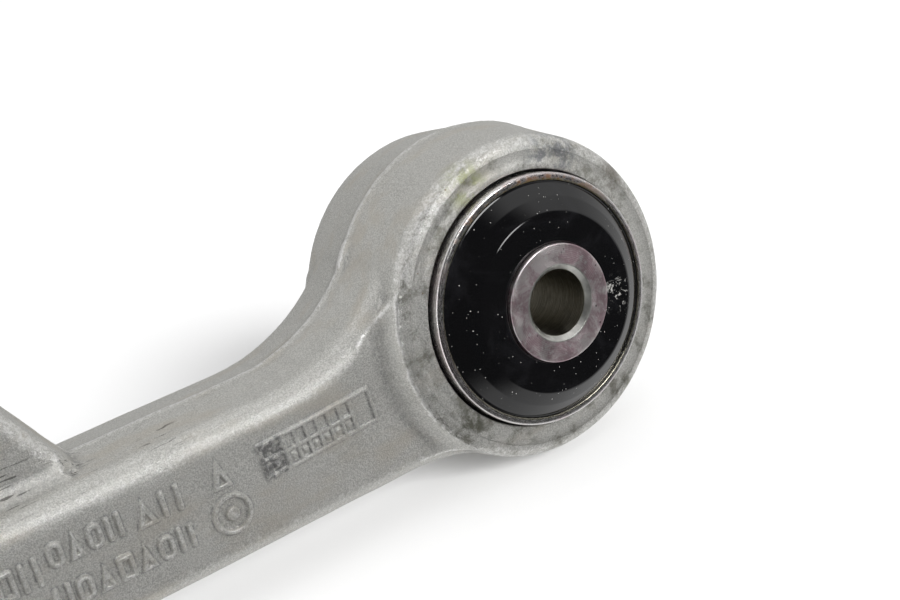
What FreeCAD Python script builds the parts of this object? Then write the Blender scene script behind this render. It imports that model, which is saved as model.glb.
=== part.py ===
"""Forged aluminium lower control arm for a car's front suspension.

The frame's origin is the centre of the pivot bush. Y runs along the bush axis,
the arm reaches along -X to the ball joint, and Z is up. Sizes are millimetres
and angles are degrees.
"""

import FreeCAD, Part
import math
import os

V = FreeCAD.Vector
X_AXIS = V(1, 0, 0)
Y_AXIS = V(0, 1, 0)
Z_AXIS = V(0, 0, 1)

# --- Forging ---------------------------------------------------------------
# The two dies part on the plane Y = 0, and every wall leans away from it.
draft_angle = 7.0
draft_slope = math.tan(math.radians(draft_angle))
flash_stand = 0.55
flash_half_width = 1.0
eye_bite = 0.2
tool_overrun = 10.0

# --- Pivot eye, at the origin ----------------------------------------------
pivot_eye_radius = 32.3
pivot_eye_half_width = 18.25
pivot_eye_bore = 23.5
bore_chamfer = 0.95
pivot_edge_round = 3.2

# --- Damper eye, part way along the arm --------------------------------------
damper_x = -205.0
damper_z = -4.0
damper_eye_radius = 26.0
damper_eye_half_width = 16.5
damper_eye_bore = 18.0
damper_edge_round = 2.6

# --- Beams between the eyes ---------------------------------------------------
inner_beam_top = 4.0
inner_beam_bottom = -24.0
inner_beam_half_width = 14.3
outer_beam_top = 1.0
outer_beam_bottom = -21.5
outer_beam_half_width = 12.0
beam_edge_round = 4.2
neck_top_sweep = 34.0
neck_bottom_sweep = 30.0
damper_sweep = 18.0

# --- Coves where the beams' side faces climb to the eyes and the lug ----------
pivot_cove_run = 6.5
damper_cove_run = 3.2
cove_rim_inset = 3.4
cove_wall_bite = 0.2
cove_head_gap = 0.4
cove_bend = 0.27
cove_root = 1.5
lug_cove = 3.6
lug_cove_bite = 0.12
lug_cove_drop = 0.6
lug_cove_root = 1.2
lug_cove_sink = 1.0
lug_cove_bend_out = 0.29
lug_cove_bend_up = 0.2

# --- Pocket that lightens the outer beam, one in each side --------------------
pocket_depth = 5.5
pocket_rim = 5.4
pocket_corner = 5.0
pocket_overcut = 1.0
pocket_inner_end = -245.0
pocket_outer_end = -318.0

# --- Lug for the stabiliser link ----------------------------------------------
lug_x = -115.0
lug_z = 18.0
lug_radius = 17.0
lug_half_width = 8.0
lug_flank_angle = 58.0
lug_root_z = -6.0
lug_edge_round = 2.4

# --- Raised marks on the side face at -Y, all plain shapes ----------------------
mark_height = 0.55
mark_sink = 0.6
grid_x = -48.0
grid_z = -6.6
grid_length = 23.0
grid_width = 6.6
grid_tilt = -3.0
grid_rim = 0.55
grid_columns = 6
grid_cell = 1.75
grid_end_block = 4.3
grid_end_box = 3.9
grid_pocket_depth = 0.45
mark_stroke = 0.8
mark_rows = (
    # x of the first mark, z of the row's foot, mark width, mark height, gap, kinds of mark from left to right
    (-106.4, -9.6, 3.1, 4.9, 0.9, ("square", "bars")),
    (-97.6, -7.9, 2.6, 4.2, 0.75, ("ring", "triangle", "ring", "bars")),
    (-82.7, -8.3, 3.5, 4.6, 1.2, ("triangle", "bars")),
    (-98.6, -15.2, 2.8, 4.2, 0.78, ("bars", "ring", "triangle", "square", "triangle", "ring", "bars")),
    (-68.9, -8.1, 3.5, 5.2, 0.0, ("triangle",)),
)
mark_corner = 0.4
mark_ring_share = 0.45
mark_ring_x = -67.0
mark_ring_z = -12.9
mark_ring_outer = 3.6
mark_ring_inner = 2.8
mark_dot_radius = 1.2

# --- Ball joint -----------------------------------------------------------------
# Heights in this group are above the centre of the ball.
ball_x = -350.0
ball_z = -9.0
ball_radius = 13.5
ball_running_gap = 0.05
housing_radius = 22.0
housing_bottom = -(pivot_eye_radius + flash_stand) - ball_z
housing_shoulder = 8.6
housing_top = 13.0
housing_neck_radius = 18.4
boot_room_radius = 24.6
boot_groove_radius = 17.4
boot_groove_low = 9.2
boot_groove_high = 11.6
housing_mouth_low = 7.0
housing_mouth_radius = 12.7
housing_mouth_top_radius = 15.6
seat_bore = 17.0
cover_bore = 19.0
cover_thickness = 2.4
lip_thickness = 1.9
lip_opening = 16.6
washer_thickness = 1.6
washer_crown_inner = 7.0
washer_crown_outer = 9.0
washer_foot_inner = 14.5
washer_foot_outer = 16.5
cover_dish_radius = 9.5
cover_dish_floor = 8.2
cover_dish_depth = 1.1
seat_split = 0.15
seat_throat_radius = 10.3
seat_throat_low = 4.0
housing_edge_round = 1.4

# --- Pivot bush -------------------------------------------------------------------
pivot_shell_inner = 22.0
pivot_shell_half_length = 20.4
pivot_core_radius = 10.9
pivot_core_bore = 6.1
pivot_core_half_length = 25.0
pivot_rubber_ridge_radius = 16.7
pivot_rubber_ridge_height = 24.3
pivot_rubber_foot_height = 24.1

# --- Damper bush --------------------------------------------------------------------
damper_shell_inner = 16.8
damper_shell_half_length = 18.0
damper_core_radius = 9.5
damper_core_bore = 6.1
damper_core_half_length = 22.0
damper_rubber_ridge_radius = 13.2
damper_rubber_ridge_height = 21.2
damper_rubber_foot_height = 21.0

core_chamfer = 0.9
shell_lip_round = 0.7
damper_lip_round = 0.45
bond_gap = 0.05

# --- Stabiliser link sleeve -----------------------------------------------------------
link_sleeve_radius = 8.0
link_sleeve_bore = 5.1
link_sleeve_half_length = 8.5
link_sleeve_chamfer = 0.6

# --- Ball stud, heights above the centre of the ball ------------------------------------
stud_neck_radius = 6.8
stud_neck_top = 18.5
stud_collar_radius = 9.1
stud_collar_low = 21.0
stud_taper_low = 29.5
stud_taper_high = 50.0
stud_taper_ratio = 1.0 / 16.0
stud_taper_step = 0.3
stud_relief_radius = 5.2
stud_relief_fade = 0.6
stud_relief_height = 2.0
stud_thread_major = 5.95
stud_thread_minor = 5.35
stud_thread_root = 0.1
stud_thread_flank = 0.5
stud_thread_crest = 0.3
stud_thread_turns = 11
stud_hex_across = 6.0
stud_hex_depth = 6.0
stud_end_chamfer = 0.9

# --- Dust boot and its rings, heights above the centre of the ball ------------------------
boot_bead_radius = 19.9
boot_bead_low = 8.8
boot_bead_high = 12.2
boot_lip_radius = 13.6
boot_lip_low = 23.4
boot_lip_high = 28.6
boot_seat_gap = 0.05
boot_groove_gap = 0.1
boot_outer_bulge = (
    # radius and height, from the bead up to the lip
    (21.8, 14.0),
    (22.4, 16.6),
    (21.5, 19.2),
    (17.2, 21.6),
)
boot_inner_bulge = (
    # radius and height, from the lip down to the bead
    (12.5, 23.3),
    (16.2, 20.3),
    (20.0, 18.3),
    (20.9, 16.6),
    (20.2, 14.7),
)
boot_band_wire = 0.8
slide_ring_inner = 9.13
slide_ring_outer = 11.6
slide_ring_low = 22.6
slide_ring_high = 29.0
slide_flange_radius = 12.0
slide_flange_thickness = 0.7

# --- Nut on the stud ---------------------------------------------------------------------
nut_low = 54.2
nut_height = 9.6
nut_across = 19.0
nut_collar_radius = 8.2
nut_collar_height = 3.2
nut_thread_bore = 5.95
nut_chamfer_angle = 30.0
insert_inner = 5.95
insert_outer = 7.5
insert_height = 2.4
insert_recess = 0.6
insert_lip = 0.5
washer_outer = 12.5
washer_inner = 6.4
nut_washer_thickness = 2.2
nut_washer_rim = 0.9


def revolved(points, origin, axis):
    """Solid of revolution. Each point is (radius, distance along the axis from the origin)."""
    side = X_AXIS
    corners = [origin + side * radius + axis * along for radius, along in points]
    face = Part.Face(Part.makePolygon(corners + corners[:1]))
    return face.revolve(origin, axis, 360)


def disc(radius, low, high, origin, axis):
    return Part.makeCylinder(radius, high - low, origin + axis * low, axis)


def edges_on_circle(shape, radius, origin, axis, heights):
    """Circular edges of a given radius about an axis, at any of the given heights."""
    found = []
    for edge in shape.Edges:
        curve = edge.Curve
        if not isinstance(curve, Part.Circle) or abs(curve.Radius - radius) > 0.02:
            continue
        offset = curve.Center - origin
        along = offset.dot(axis)
        if (offset - axis * along).Length > 0.02:
            continue
        if any(abs(along - height) < 0.02 for height in heights):
            found.append(edge)
    return found


def drafted_slab(outline, half_width, edge_round):
    """Slab about Y = 0 whose walls lean in by the draft, with rounded outer edges.

    outline(inset) gives the closed wire at Y = 0, moved in by inset.
    """
    lean = half_width * draft_slope
    halves = []
    for side in (-1, 1):
        middle = outline(0.0)
        outer = outline(lean)
        outer.translate(Y_AXIS * (side * half_width))
        half = Part.makeLoft([middle, outer], True, True)
        rim = []
        for edge in half.Edges:
            points = [vertex.Point for vertex in edge.Vertexes]
            if all(abs(abs(point.y) - half_width) < 0.01 for point in points):
                rim.append(edge)
        halves.append(half.makeFillet(edge_round, rim))
    return halves[0].fuse(halves[1]).removeSplitter()


def circle_sweep(centre_x, centre_z, radius, line_z, sweep, side):
    """Where a concave arc joins an eye to a level line.

    side is +1 when the line runs away from the eye towards +X, and -1 towards -X.
    Returns the arc's end on the eye, its middle and its end on the line.
    """
    up = 1 if line_z > centre_z else -1
    rise = line_z + up * sweep - centre_z
    run = math.sqrt((radius + sweep) ** 2 - rise ** 2)
    arc_x = centre_x + side * run
    arc_z = line_z + up * sweep
    share = radius / (radius + sweep)
    on_eye = V(centre_x + side * run * share, 0, centre_z + rise * share)
    on_line = V(arc_x, 0, line_z)
    arc_centre = V(arc_x, 0, arc_z)
    toward = (on_eye - arc_centre) + (on_line - arc_centre)
    middle = arc_centre + toward.normalize() * sweep
    return on_eye, middle, on_line


def inner_beam_outline(inset):
    """Beam between the pivot eye and the damper eye, with a concave arc at each corner.

    The arcs cut into the eyes by the bite, so that the walls cross instead of just touching.
    """
    top = inner_beam_top - inset
    bottom = inner_beam_bottom + inset
    pivot = (0.0, 0.0, pivot_eye_radius - eye_bite - inset)
    damper = (damper_x, damper_z, damper_eye_radius - eye_bite - inset)
    corners = [
        circle_sweep(*pivot, top, neck_top_sweep + inset, -1),
        circle_sweep(*damper, top, damper_sweep + inset, 1),
        circle_sweep(*damper, bottom, damper_sweep + inset, 1),
        circle_sweep(*pivot, bottom, neck_bottom_sweep + inset, -1),
    ]
    return beam_wire(corners, V(0, 0, 0), V(damper_x, 0, damper_z))


def outer_beam_outline(inset):
    """Beam between the damper eye and the ball joint's housing."""
    top = outer_beam_top - inset
    bottom = outer_beam_bottom + inset
    damper = (damper_x, damper_z, damper_eye_radius - eye_bite - inset)
    upper = circle_sweep(*damper, top, damper_sweep + inset, -1)
    lower = circle_sweep(*damper, bottom, damper_sweep + inset, -1)
    end_top = V(ball_x, 0, top)
    end_bottom = V(ball_x, 0, bottom)
    edges = [
        Part.LineSegment(V(damper_x, 0, damper_z), upper[0]).toShape(),
        Part.Arc(*upper).toShape(),
        Part.LineSegment(upper[2], end_top).toShape(),
        Part.LineSegment(end_top, end_bottom).toShape(),
        Part.LineSegment(end_bottom, lower[2]).toShape(),
        Part.Arc(lower[2], lower[1], lower[0]).toShape(),
        Part.LineSegment(lower[0], V(damper_x, 0, damper_z)).toShape(),
    ]
    return Part.Wire(edges)


def beam_wire(corners, start, end):
    """Closed wire: start eye, top line, end eye, bottom line."""
    top_start, top_end, low_end, low_start = corners
    edges = [
        Part.LineSegment(start, top_start[0]).toShape(),
        Part.Arc(*top_start).toShape(),
        Part.LineSegment(top_start[2], top_end[2]).toShape(),
        Part.Arc(top_end[2], top_end[1], top_end[0]).toShape(),
        Part.LineSegment(top_end[0], end).toShape(),
        Part.LineSegment(end, low_end[0]).toShape(),
        Part.Arc(*low_end).toShape(),
        Part.LineSegment(low_end[2], low_start[2]).toShape(),
        Part.Arc(low_start[2], low_start[1], low_start[0]).toShape(),
        Part.LineSegment(low_start[0], start).toShape(),
    ]
    return Part.Wire(edges)


def lug_outline(inset):
    """Round-topped lug with two straight flanks that run down into the beam."""
    radius = lug_radius - inset
    flank = math.radians(lug_flank_angle)
    side_x = radius * math.sin(flank)
    side_z = lug_z + radius * math.cos(flank)
    spread = (side_z - lug_root_z) / math.tan(flank)
    right = V(lug_x + side_x, 0, side_z)
    left = V(lug_x - side_x, 0, side_z)
    top = V(lug_x, 0, lug_z + radius)
    right_foot = V(right.x + spread, 0, lug_root_z)
    left_foot = V(left.x - spread, 0, lug_root_z)
    edges = [
        Part.LineSegment(right_foot, right).toShape(),
        Part.Arc(right, top, left).toShape(),
        Part.LineSegment(left, left_foot).toShape(),
        Part.LineSegment(left_foot, right_foot).toShape(),
    ]
    return Part.Wire(edges)


def eye_blank(centre, radius, half_width, edge_round):
    """Solid eye, widest on the parting plane, before it is bored."""
    face_radius = radius - half_width * draft_slope
    profile = [
        (0, -half_width),
        (face_radius, -half_width),
        (radius, 0),
        (face_radius, half_width),
        (0, half_width),
    ]
    blank = revolved(profile, centre, Y_AXIS)
    rim = edges_on_circle(blank, face_radius, centre, Y_AXIS, (-half_width, half_width))
    return blank.makeFillet(edge_round, rim)


def eye_cutter(centre, bore, half_width):
    """Bore with a chamfer at each mouth."""
    mouth = bore + bore_chamfer
    reach = half_width + tool_overrun
    profile = [
        (0, -reach),
        (mouth, -reach),
        (mouth, -half_width),
        (bore, -half_width + bore_chamfer),
        (bore, half_width - bore_chamfer),
        (mouth, half_width),
        (mouth, reach),
        (0, reach),
    ]
    return revolved(profile, centre, Y_AXIS)


def housing_blank():
    """Upright cylinder before its top is turned down."""
    centre = V(ball_x, 0, ball_z)
    profile = [
        (0, housing_bottom),
        (housing_radius - housing_edge_round, housing_bottom),
        (housing_radius, housing_bottom + housing_edge_round),
        (housing_radius, housing_top),
        (0, housing_top),
    ]
    return revolved(profile, centre, Z_AXIS)


def boot_room_cutter():
    """Turns the housing's shoulder and neck, clears the beam round them, and cuts the boot's groove."""
    centre = V(ball_x, 0, ball_z)
    reach = housing_top + tool_overrun
    profile = [
        (housing_neck_radius, housing_shoulder),
        (housing_radius - housing_edge_round, housing_shoulder),
        (housing_radius, housing_shoulder - housing_edge_round),
        (boot_room_radius, housing_shoulder - housing_edge_round),
        (boot_room_radius, reach),
        (housing_neck_radius, reach),
        (housing_neck_radius, boot_groove_high),
        (boot_groove_radius, boot_groove_high),
        (boot_groove_radius, boot_groove_low),
        (housing_neck_radius, boot_groove_low),
    ]
    return revolved(profile, centre, Z_AXIS)


def cover_top():
    return housing_bottom + lip_thickness + cover_thickness


def housing_cutter():
    """Room for the seats and the ball, the cover's pocket, the rolled lip and the mouth."""
    centre = V(ball_x, 0, ball_z)
    profile = [
        (0, housing_bottom - tool_overrun),
        (lip_opening, housing_bottom - tool_overrun),
        (lip_opening, housing_bottom + lip_thickness),
        (cover_bore, housing_bottom + lip_thickness),
        (cover_bore, cover_top()),
        (seat_bore, cover_top()),
        (seat_bore, housing_mouth_low),
        (housing_mouth_radius, housing_mouth_low),
        (housing_mouth_top_radius, housing_top),
        (housing_mouth_top_radius, housing_top + tool_overrun),
        (0, housing_top + tool_overrun),
    ]
    return revolved(profile, centre, Z_AXIS)


def pocket_cutter(side):
    """Blind pocket in one side of the outer beam, with leaning walls."""
    top = outer_beam_top - pocket_rim
    bottom = outer_beam_bottom + pocket_rim
    floor_y = outer_beam_half_width - pocket_depth
    rings = []
    for rise in (0.0, pocket_depth + pocket_overcut):
        grow = rise * draft_slope
        left = pocket_outer_end - grow
        right = pocket_inner_end + grow
        ring = rounded_rectangle(left, right, bottom - grow, top + grow, pocket_corner + grow)
        ring.translate(Y_AXIS * (side * (floor_y + rise)))
        rings.append(ring)
    return Part.makeLoft(rings, True, True)


def cove_ring(centre, wall_radius, run, beam_outline, beam_half_width, eye_half_width):
    """Concave ring from a beam's side faces up to an eye's wall, kept inside the beam's outline."""
    rise = eye_half_width - beam_half_width - cove_head_gap
    rings = []
    for side in (-1, 1):
        foot = centre + V(wall_radius + run, side * beam_half_width, 0)
        head = centre + V(wall_radius, side * (beam_half_width + rise), 0)
        bend = centre + V(wall_radius + cove_bend * run, side * (beam_half_width + cove_bend * rise), 0)
        root_out = foot - Y_AXIS * (side * cove_root)
        root_in = head - Y_AXIS * (side * (rise + cove_root))
        edges = [
            Part.Arc(foot, bend, head).toShape(),
            Part.LineSegment(head, root_in).toShape(),
            Part.LineSegment(root_in, root_out).toShape(),
            Part.LineSegment(root_out, foot).toShape(),
        ]
        rings.append(Part.Face(Part.Wire(edges)).revolve(centre, Y_AXIS, 360))
    limit = Part.Face(beam_outline(cove_rim_inset))
    limit.translate(Y_AXIS * -eye_half_width)
    limit = limit.extrude(Y_AXIS * (2 * eye_half_width))
    return rings[0].fuse(rings[1]).common(limit)


def lug_coves():
    """Concave strip along each foot of the lug, where its side faces meet the beam's top."""
    slope_inset = lug_half_width * draft_slope
    low = inner_beam_top - slope_inset
    flank = math.radians(lug_flank_angle)
    reach = lug_radius * math.sin(flank) + (lug_z + lug_radius * math.cos(flank) - low) / math.tan(flank)
    half_length = reach - lug_cove
    strips = []
    for side in (-1, 1):
        wall = side * (lug_half_width - lug_cove_bite)
        root = low - lug_cove_root
        head = V(lug_x - half_length, wall, low + lug_cove)
        foot = V(head.x, wall + side * lug_cove, low - lug_cove_drop)
        bend = V(head.x, wall + side * lug_cove * lug_cove_bend_out, low + lug_cove * lug_cove_bend_up)
        root_out = V(head.x, foot.y, root)
        root_in = V(head.x, wall - side * lug_cove_sink, root)
        head_in = V(head.x, root_in.y, head.z)
        edges = [
            Part.Arc(head, bend, foot).toShape(),
            Part.LineSegment(foot, root_out).toShape(),
            Part.LineSegment(root_out, root_in).toShape(),
            Part.LineSegment(root_in, head_in).toShape(),
            Part.LineSegment(head_in, head).toShape(),
        ]
        strips.append(Part.Face(Part.Wire(edges)).extrude(X_AXIS * (2 * half_length)))
    return strips


def pad(left, right, bottom, top, height=mark_height):
    """Flat raised pad on the beam's side face at -Y."""
    face_y = -inner_beam_half_width
    return Part.makeBox(
        right - left, height + mark_sink, top - bottom, V(left, face_y - height, bottom))


def date_grid():
    """Raised frame that holds two rows of small square pockets and a larger box at each end."""
    half_length = grid_length / 2
    half_width = grid_width / 2
    plate = pad(-half_length, half_length, -half_width, half_width)
    pockets = []
    inner = half_width - grid_rim
    left = -half_length + grid_rim
    for low, high in ((-inner, -grid_rim / 2), (grid_rim / 2, inner)):
        pockets.append((left, left + grid_end_block - grid_rim, low, high))
    start = left + grid_end_block
    pitch = (grid_length - grid_end_block - grid_end_box - 2 * grid_rim) / grid_columns
    for column in range(grid_columns):
        for row in (-1, 1):
            x = start + pitch * (column + 0.5)
            z = row * (inner + grid_rim / 2) / 2
            pockets.append((x - grid_cell / 2, x + grid_cell / 2, z - grid_cell / 2, z + grid_cell / 2))
    right = half_length - grid_rim
    pockets.append((right - grid_end_box + grid_rim, right, -inner, inner))
    face_y = -inner_beam_half_width - mark_height
    for x_low, x_high, z_low, z_high in pockets:
        corner = V(x_low, face_y - mark_sink, z_low)
        plate = plate.cut(Part.makeBox(x_high - x_low, mark_sink + grid_pocket_depth, z_high - z_low, corner))
    plate.rotate(V(0, 0, 0), Y_AXIS, grid_tilt)
    plate.translate(V(grid_x, 0, grid_z))
    return plate


def triangle(left, right, low, high, inset):
    """Closed wire on Y = 0 of an upright triangle, moved in from its sides by inset."""
    base = right - left
    height = high - low
    inner_radius = base * height / (base + 2 * math.hypot(base / 2, height))
    share = (inner_radius - inset) / inner_radius
    middle = V((left + right) / 2, 0, low + inner_radius)
    corners = [V(left, 0, low), V(right, 0, low), V(middle.x, 0, high)]
    moved = [middle + (corner - middle) * share for corner in corners]
    return Part.makePolygon(moved + moved[:1])


def stroke_mark(kind, left, low, width, height):
    """Plain figure drawn with raised strokes: two bars, or the outline of a square, a ring or a triangle."""
    right = left + width
    high = low + height
    if kind == "bars":
        return [pad(left, left + mark_stroke, low, high), pad(right - mark_stroke, right, low, high)]
    if kind == "triangle":
        outer = triangle(left, right, low, high, 0.0)
        inner = triangle(left, right, low, high, mark_stroke)
    else:
        corner = width * mark_ring_share if kind == "ring" else mark_corner
        inner_corner = max(corner - mark_stroke, mark_corner / 2)
        stroke = mark_stroke
        outer = rounded_rectangle(left, right, low, high, corner)
        inner = rounded_rectangle(left + stroke, right - stroke, low + stroke, high - stroke, inner_corner)
    figure = Part.Face(outer).cut(Part.Face(inner))
    figure.translate(Y_AXIS * -(inner_beam_half_width + mark_height))
    return [figure.extrude(Y_AXIS * (mark_height + mark_sink))]


def raised_marks():
    """Rows of plain stroke figures, and a ring with a dot."""
    marks = []
    for x, z, width, height, gap, kinds in mark_rows:
        for kind in kinds:
            marks += stroke_mark(kind, x, z, width, height)
            x += width + gap
    root = V(mark_ring_x, -inner_beam_half_width - mark_height, mark_ring_z)
    depth = mark_height + mark_sink
    ring = Part.makeCylinder(mark_ring_outer, depth, root, Y_AXIS)
    marks.append(ring.cut(Part.makeCylinder(mark_ring_inner, depth, root, Y_AXIS)))
    marks.append(Part.makeCylinder(mark_dot_radius, depth, root, Y_AXIS))
    return marks


def rounded_rectangle(left, right, bottom, top, corner):
    """Closed wire on Y = 0 with four round corners."""
    middles = [
        (V(right - corner, 0, top - corner), 45),
        (V(left + corner, 0, top - corner), 135),
        (V(left + corner, 0, bottom + corner), 225),
        (V(right - corner, 0, bottom + corner), 315),
    ]
    arcs = []
    for centre, angle in middles:
        points = []
        for turn in (angle - 45, angle, angle + 45):
            radians = math.radians(turn)
            points.append(centre + V(math.cos(radians), 0, math.sin(radians)) * corner)
        arcs.append(points)
    edges = []
    for index, points in enumerate(arcs):
        edges.append(Part.Arc(*points).toShape())
        following = arcs[(index + 1) % len(arcs)]
        edges.append(Part.LineSegment(points[2], following[0]).toShape())
    return Part.Wire(edges)


def flash_band():
    """Thin ridge round the parting plane, left where the flash was trimmed off."""
    plates = [Part.Face(outline(0.0)) for outline in (inner_beam_outline, outer_beam_outline, lug_outline)]
    for x, z, radius in ((0.0, 0.0, pivot_eye_radius), (damper_x, damper_z, damper_eye_radius)):
        circle = Part.Circle(V(x, 0, z), Y_AXIS, radius)
        plates.append(Part.Face(Part.Wire(circle.toShape())))
    sheet = plates[0].multiFuse(plates[1:]).removeSplitter()
    rim = sheet.Faces[0].OuterWire.makeOffset2D(flash_stand)
    plate = Part.Face(rim)
    plate.translate(Y_AXIS * -flash_half_width)
    return plate.extrude(Y_AXIS * (2 * flash_half_width))


def make_arm_forging():
    pivot = V(0, 0, 0)
    damper = V(damper_x, 0, damper_z)
    pivot_wall = pivot_eye_radius - pivot_eye_half_width * draft_slope - cove_wall_bite
    damper_wall = damper_eye_radius - damper_eye_half_width * draft_slope - cove_wall_bite
    body = eye_blank(pivot, pivot_eye_radius, pivot_eye_half_width, pivot_edge_round)
    parts = [
        eye_blank(damper, damper_eye_radius, damper_eye_half_width, damper_edge_round),
        drafted_slab(inner_beam_outline, inner_beam_half_width, beam_edge_round),
        drafted_slab(outer_beam_outline, outer_beam_half_width, beam_edge_round),
        drafted_slab(lug_outline, lug_half_width, lug_edge_round),
        housing_blank(),
        flash_band(),
        cove_ring(
            pivot, pivot_wall, pivot_cove_run, inner_beam_outline, inner_beam_half_width,
            pivot_eye_half_width),
        cove_ring(
            damper, damper_wall, damper_cove_run, inner_beam_outline, inner_beam_half_width,
            damper_eye_half_width),
        date_grid(),
    ]
    body = body.multiFuse(parts + lug_coves() + raised_marks()).removeSplitter()
    lug_reach = lug_half_width + tool_overrun
    cutters = [
        eye_cutter(pivot, pivot_eye_bore, pivot_eye_half_width),
        eye_cutter(damper, damper_eye_bore, damper_eye_half_width),
        disc(link_sleeve_radius, -lug_reach, lug_reach, V(lug_x, 0, lug_z), Y_AXIS),
        boot_room_cutter(),
        housing_cutter(),
        pocket_cutter(-1),
        pocket_cutter(1),
    ]
    for cutter in cutters:
        body = body.cut(cutter)
    return body


def bush_shell(centre, inner, outer, half_length, lip_round):
    """Outer steel sleeve with rounded ends."""
    shell = disc(outer, -half_length, half_length, centre, Y_AXIS)
    shell = shell.cut(disc(inner, -half_length, half_length, centre, Y_AXIS))
    ends = (-half_length, half_length)
    rims = edges_on_circle(shell, outer, centre, Y_AXIS, ends)
    rims += edges_on_circle(shell, inner, centre, Y_AXIS, ends)
    return shell.makeFillet(lip_round, rims)


def bush_core(centre, bore, outer, half_length):
    """Inner steel sleeve, chamfered at the mouths of its bore."""
    mouth = bore + core_chamfer
    profile = [
        (bore, -half_length + core_chamfer),
        (mouth, -half_length),
        (outer, -half_length),
        (outer, half_length),
        (mouth, half_length),
        (bore, half_length - core_chamfer),
    ]
    return revolved(profile, centre, Y_AXIS)


def bush_rubber(centre, core_radius, shell_inner, shell_half, ridge_radius, ridge_height, foot_height):
    """Bonded rubber: a cone rises from the outer sleeve to a ridge, then a flat ring runs in to the core."""
    bore = core_radius + bond_gap
    profile = [
        (bore, -foot_height),
        (ridge_radius, -ridge_height),
        (shell_inner, -shell_half),
        (shell_inner, shell_half),
        (ridge_radius, ridge_height),
        (bore, foot_height),
    ]
    return revolved(profile, centre, Y_AXIS)


def make_link_sleeve():
    centre = V(lug_x, 0, lug_z)
    mouth = link_sleeve_bore + link_sleeve_chamfer
    half = link_sleeve_half_length
    profile = [
        (link_sleeve_bore, -half + link_sleeve_chamfer),
        (mouth, -half),
        (link_sleeve_radius, -half),
        (link_sleeve_radius, half),
        (mouth, half),
        (link_sleeve_bore, half - link_sleeve_chamfer),
    ]
    return revolved(profile, centre, Y_AXIS)


def make_ball_stud():
    """Ball, neck, collar, taper and thread in one forged and ground piece."""
    centre = V(ball_x, 0, ball_z)
    taper_start = stud_collar_radius - stud_taper_step
    taper_end = taper_start - (stud_taper_high - stud_taper_low) * stud_taper_ratio
    relief_top = stud_taper_high + stud_relief_height
    profile = [
        (0, 0),
        (stud_neck_radius, 0),
        (stud_neck_radius, stud_neck_top),
        (stud_collar_radius, stud_collar_low),
        (stud_collar_radius, stud_taper_low),
        (taper_start, stud_taper_low),
        (taper_end, stud_taper_high),
        (stud_relief_radius, stud_taper_high + stud_relief_fade),
        (stud_relief_radius, relief_top),
    ]
    level = relief_top
    for _ in range(stud_thread_turns):
        level += stud_thread_root
        profile.append((stud_thread_minor, level))
        level += stud_thread_flank
        profile.append((stud_thread_major, level))
        level += stud_thread_crest
        profile.append((stud_thread_major, level))
        level += stud_thread_flank
        profile.append((stud_thread_minor, level))
        level += stud_thread_root
    end = level + stud_end_chamfer
    profile.append((stud_thread_minor, end - stud_end_chamfer))
    profile.append((stud_thread_minor - stud_end_chamfer, end))
    profile.append((0, end))
    stud = revolved(profile, centre, Z_AXIS)
    stud = stud.fuse(Part.makeSphere(ball_radius, centre))
    socket = hexagon(stud_hex_across, end - stud_hex_depth, end + tool_overrun, centre)
    return stud.cut(socket).removeSplitter()


def hexagon(across, low, high, centre):
    """Upright hexagonal prism, given its width across flats."""
    corner_radius = across / math.sqrt(3)
    corners = []
    for step in range(6):
        angle = math.radians(60 * step)
        corners.append(centre + V(math.cos(angle) * corner_radius, math.sin(angle) * corner_radius, low))
    face = Part.Face(Part.makePolygon(corners + corners[:1]))
    return face.extrude(Z_AXIS * (high - low))


def ball_room():
    return Part.makeSphere(ball_radius + ball_running_gap, V(ball_x, 0, ball_z))


def make_seat_upper():
    """Upper half of the ball's polymer seat, open at the top for the stud's neck."""
    centre = V(ball_x, 0, ball_z)
    profile = [
        (0, seat_split),
        (seat_bore, seat_split),
        (seat_bore, housing_mouth_low),
        (housing_mouth_radius, housing_mouth_low),
        (seat_throat_radius, seat_throat_low),
        (0, seat_throat_low),
    ]
    return revolved(profile, centre, Z_AXIS).cut(ball_room())


def make_seat_lower():
    """Lower half of the ball's polymer seat, held up by the preload washer."""
    centre = V(ball_x, 0, ball_z)
    low = cover_top() + washer_thickness
    return disc(seat_bore, low, -seat_split, centre, Z_AXIS).cut(ball_room())


def make_preload_washer():
    """Conical spring washer between the cover and the lower seat."""
    centre = V(ball_x, 0, ball_z)
    low = cover_top()
    high = low + washer_thickness
    half = washer_thickness / 2
    profile = [
        (washer_crown_inner, high - half),
        (washer_crown_inner, high),
        (washer_crown_outer, high),
        (washer_foot_outer, low + half),
        (washer_foot_outer, low),
        (washer_foot_inner, low),
    ]
    return revolved(profile, centre, Z_AXIS)


def make_cover_plate():
    """Pressed steel disc that closes the housing, with a dished middle."""
    centre = V(ball_x, 0, ball_z)
    low = housing_bottom + lip_thickness
    floor = low + cover_dish_depth
    profile = [
        (0, cover_top()),
        (0, floor),
        (cover_dish_floor, floor),
        (cover_dish_radius, low),
        (cover_bore, low),
        (cover_bore, cover_top()),
    ]
    return revolved(profile, centre, Z_AXIS)


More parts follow.
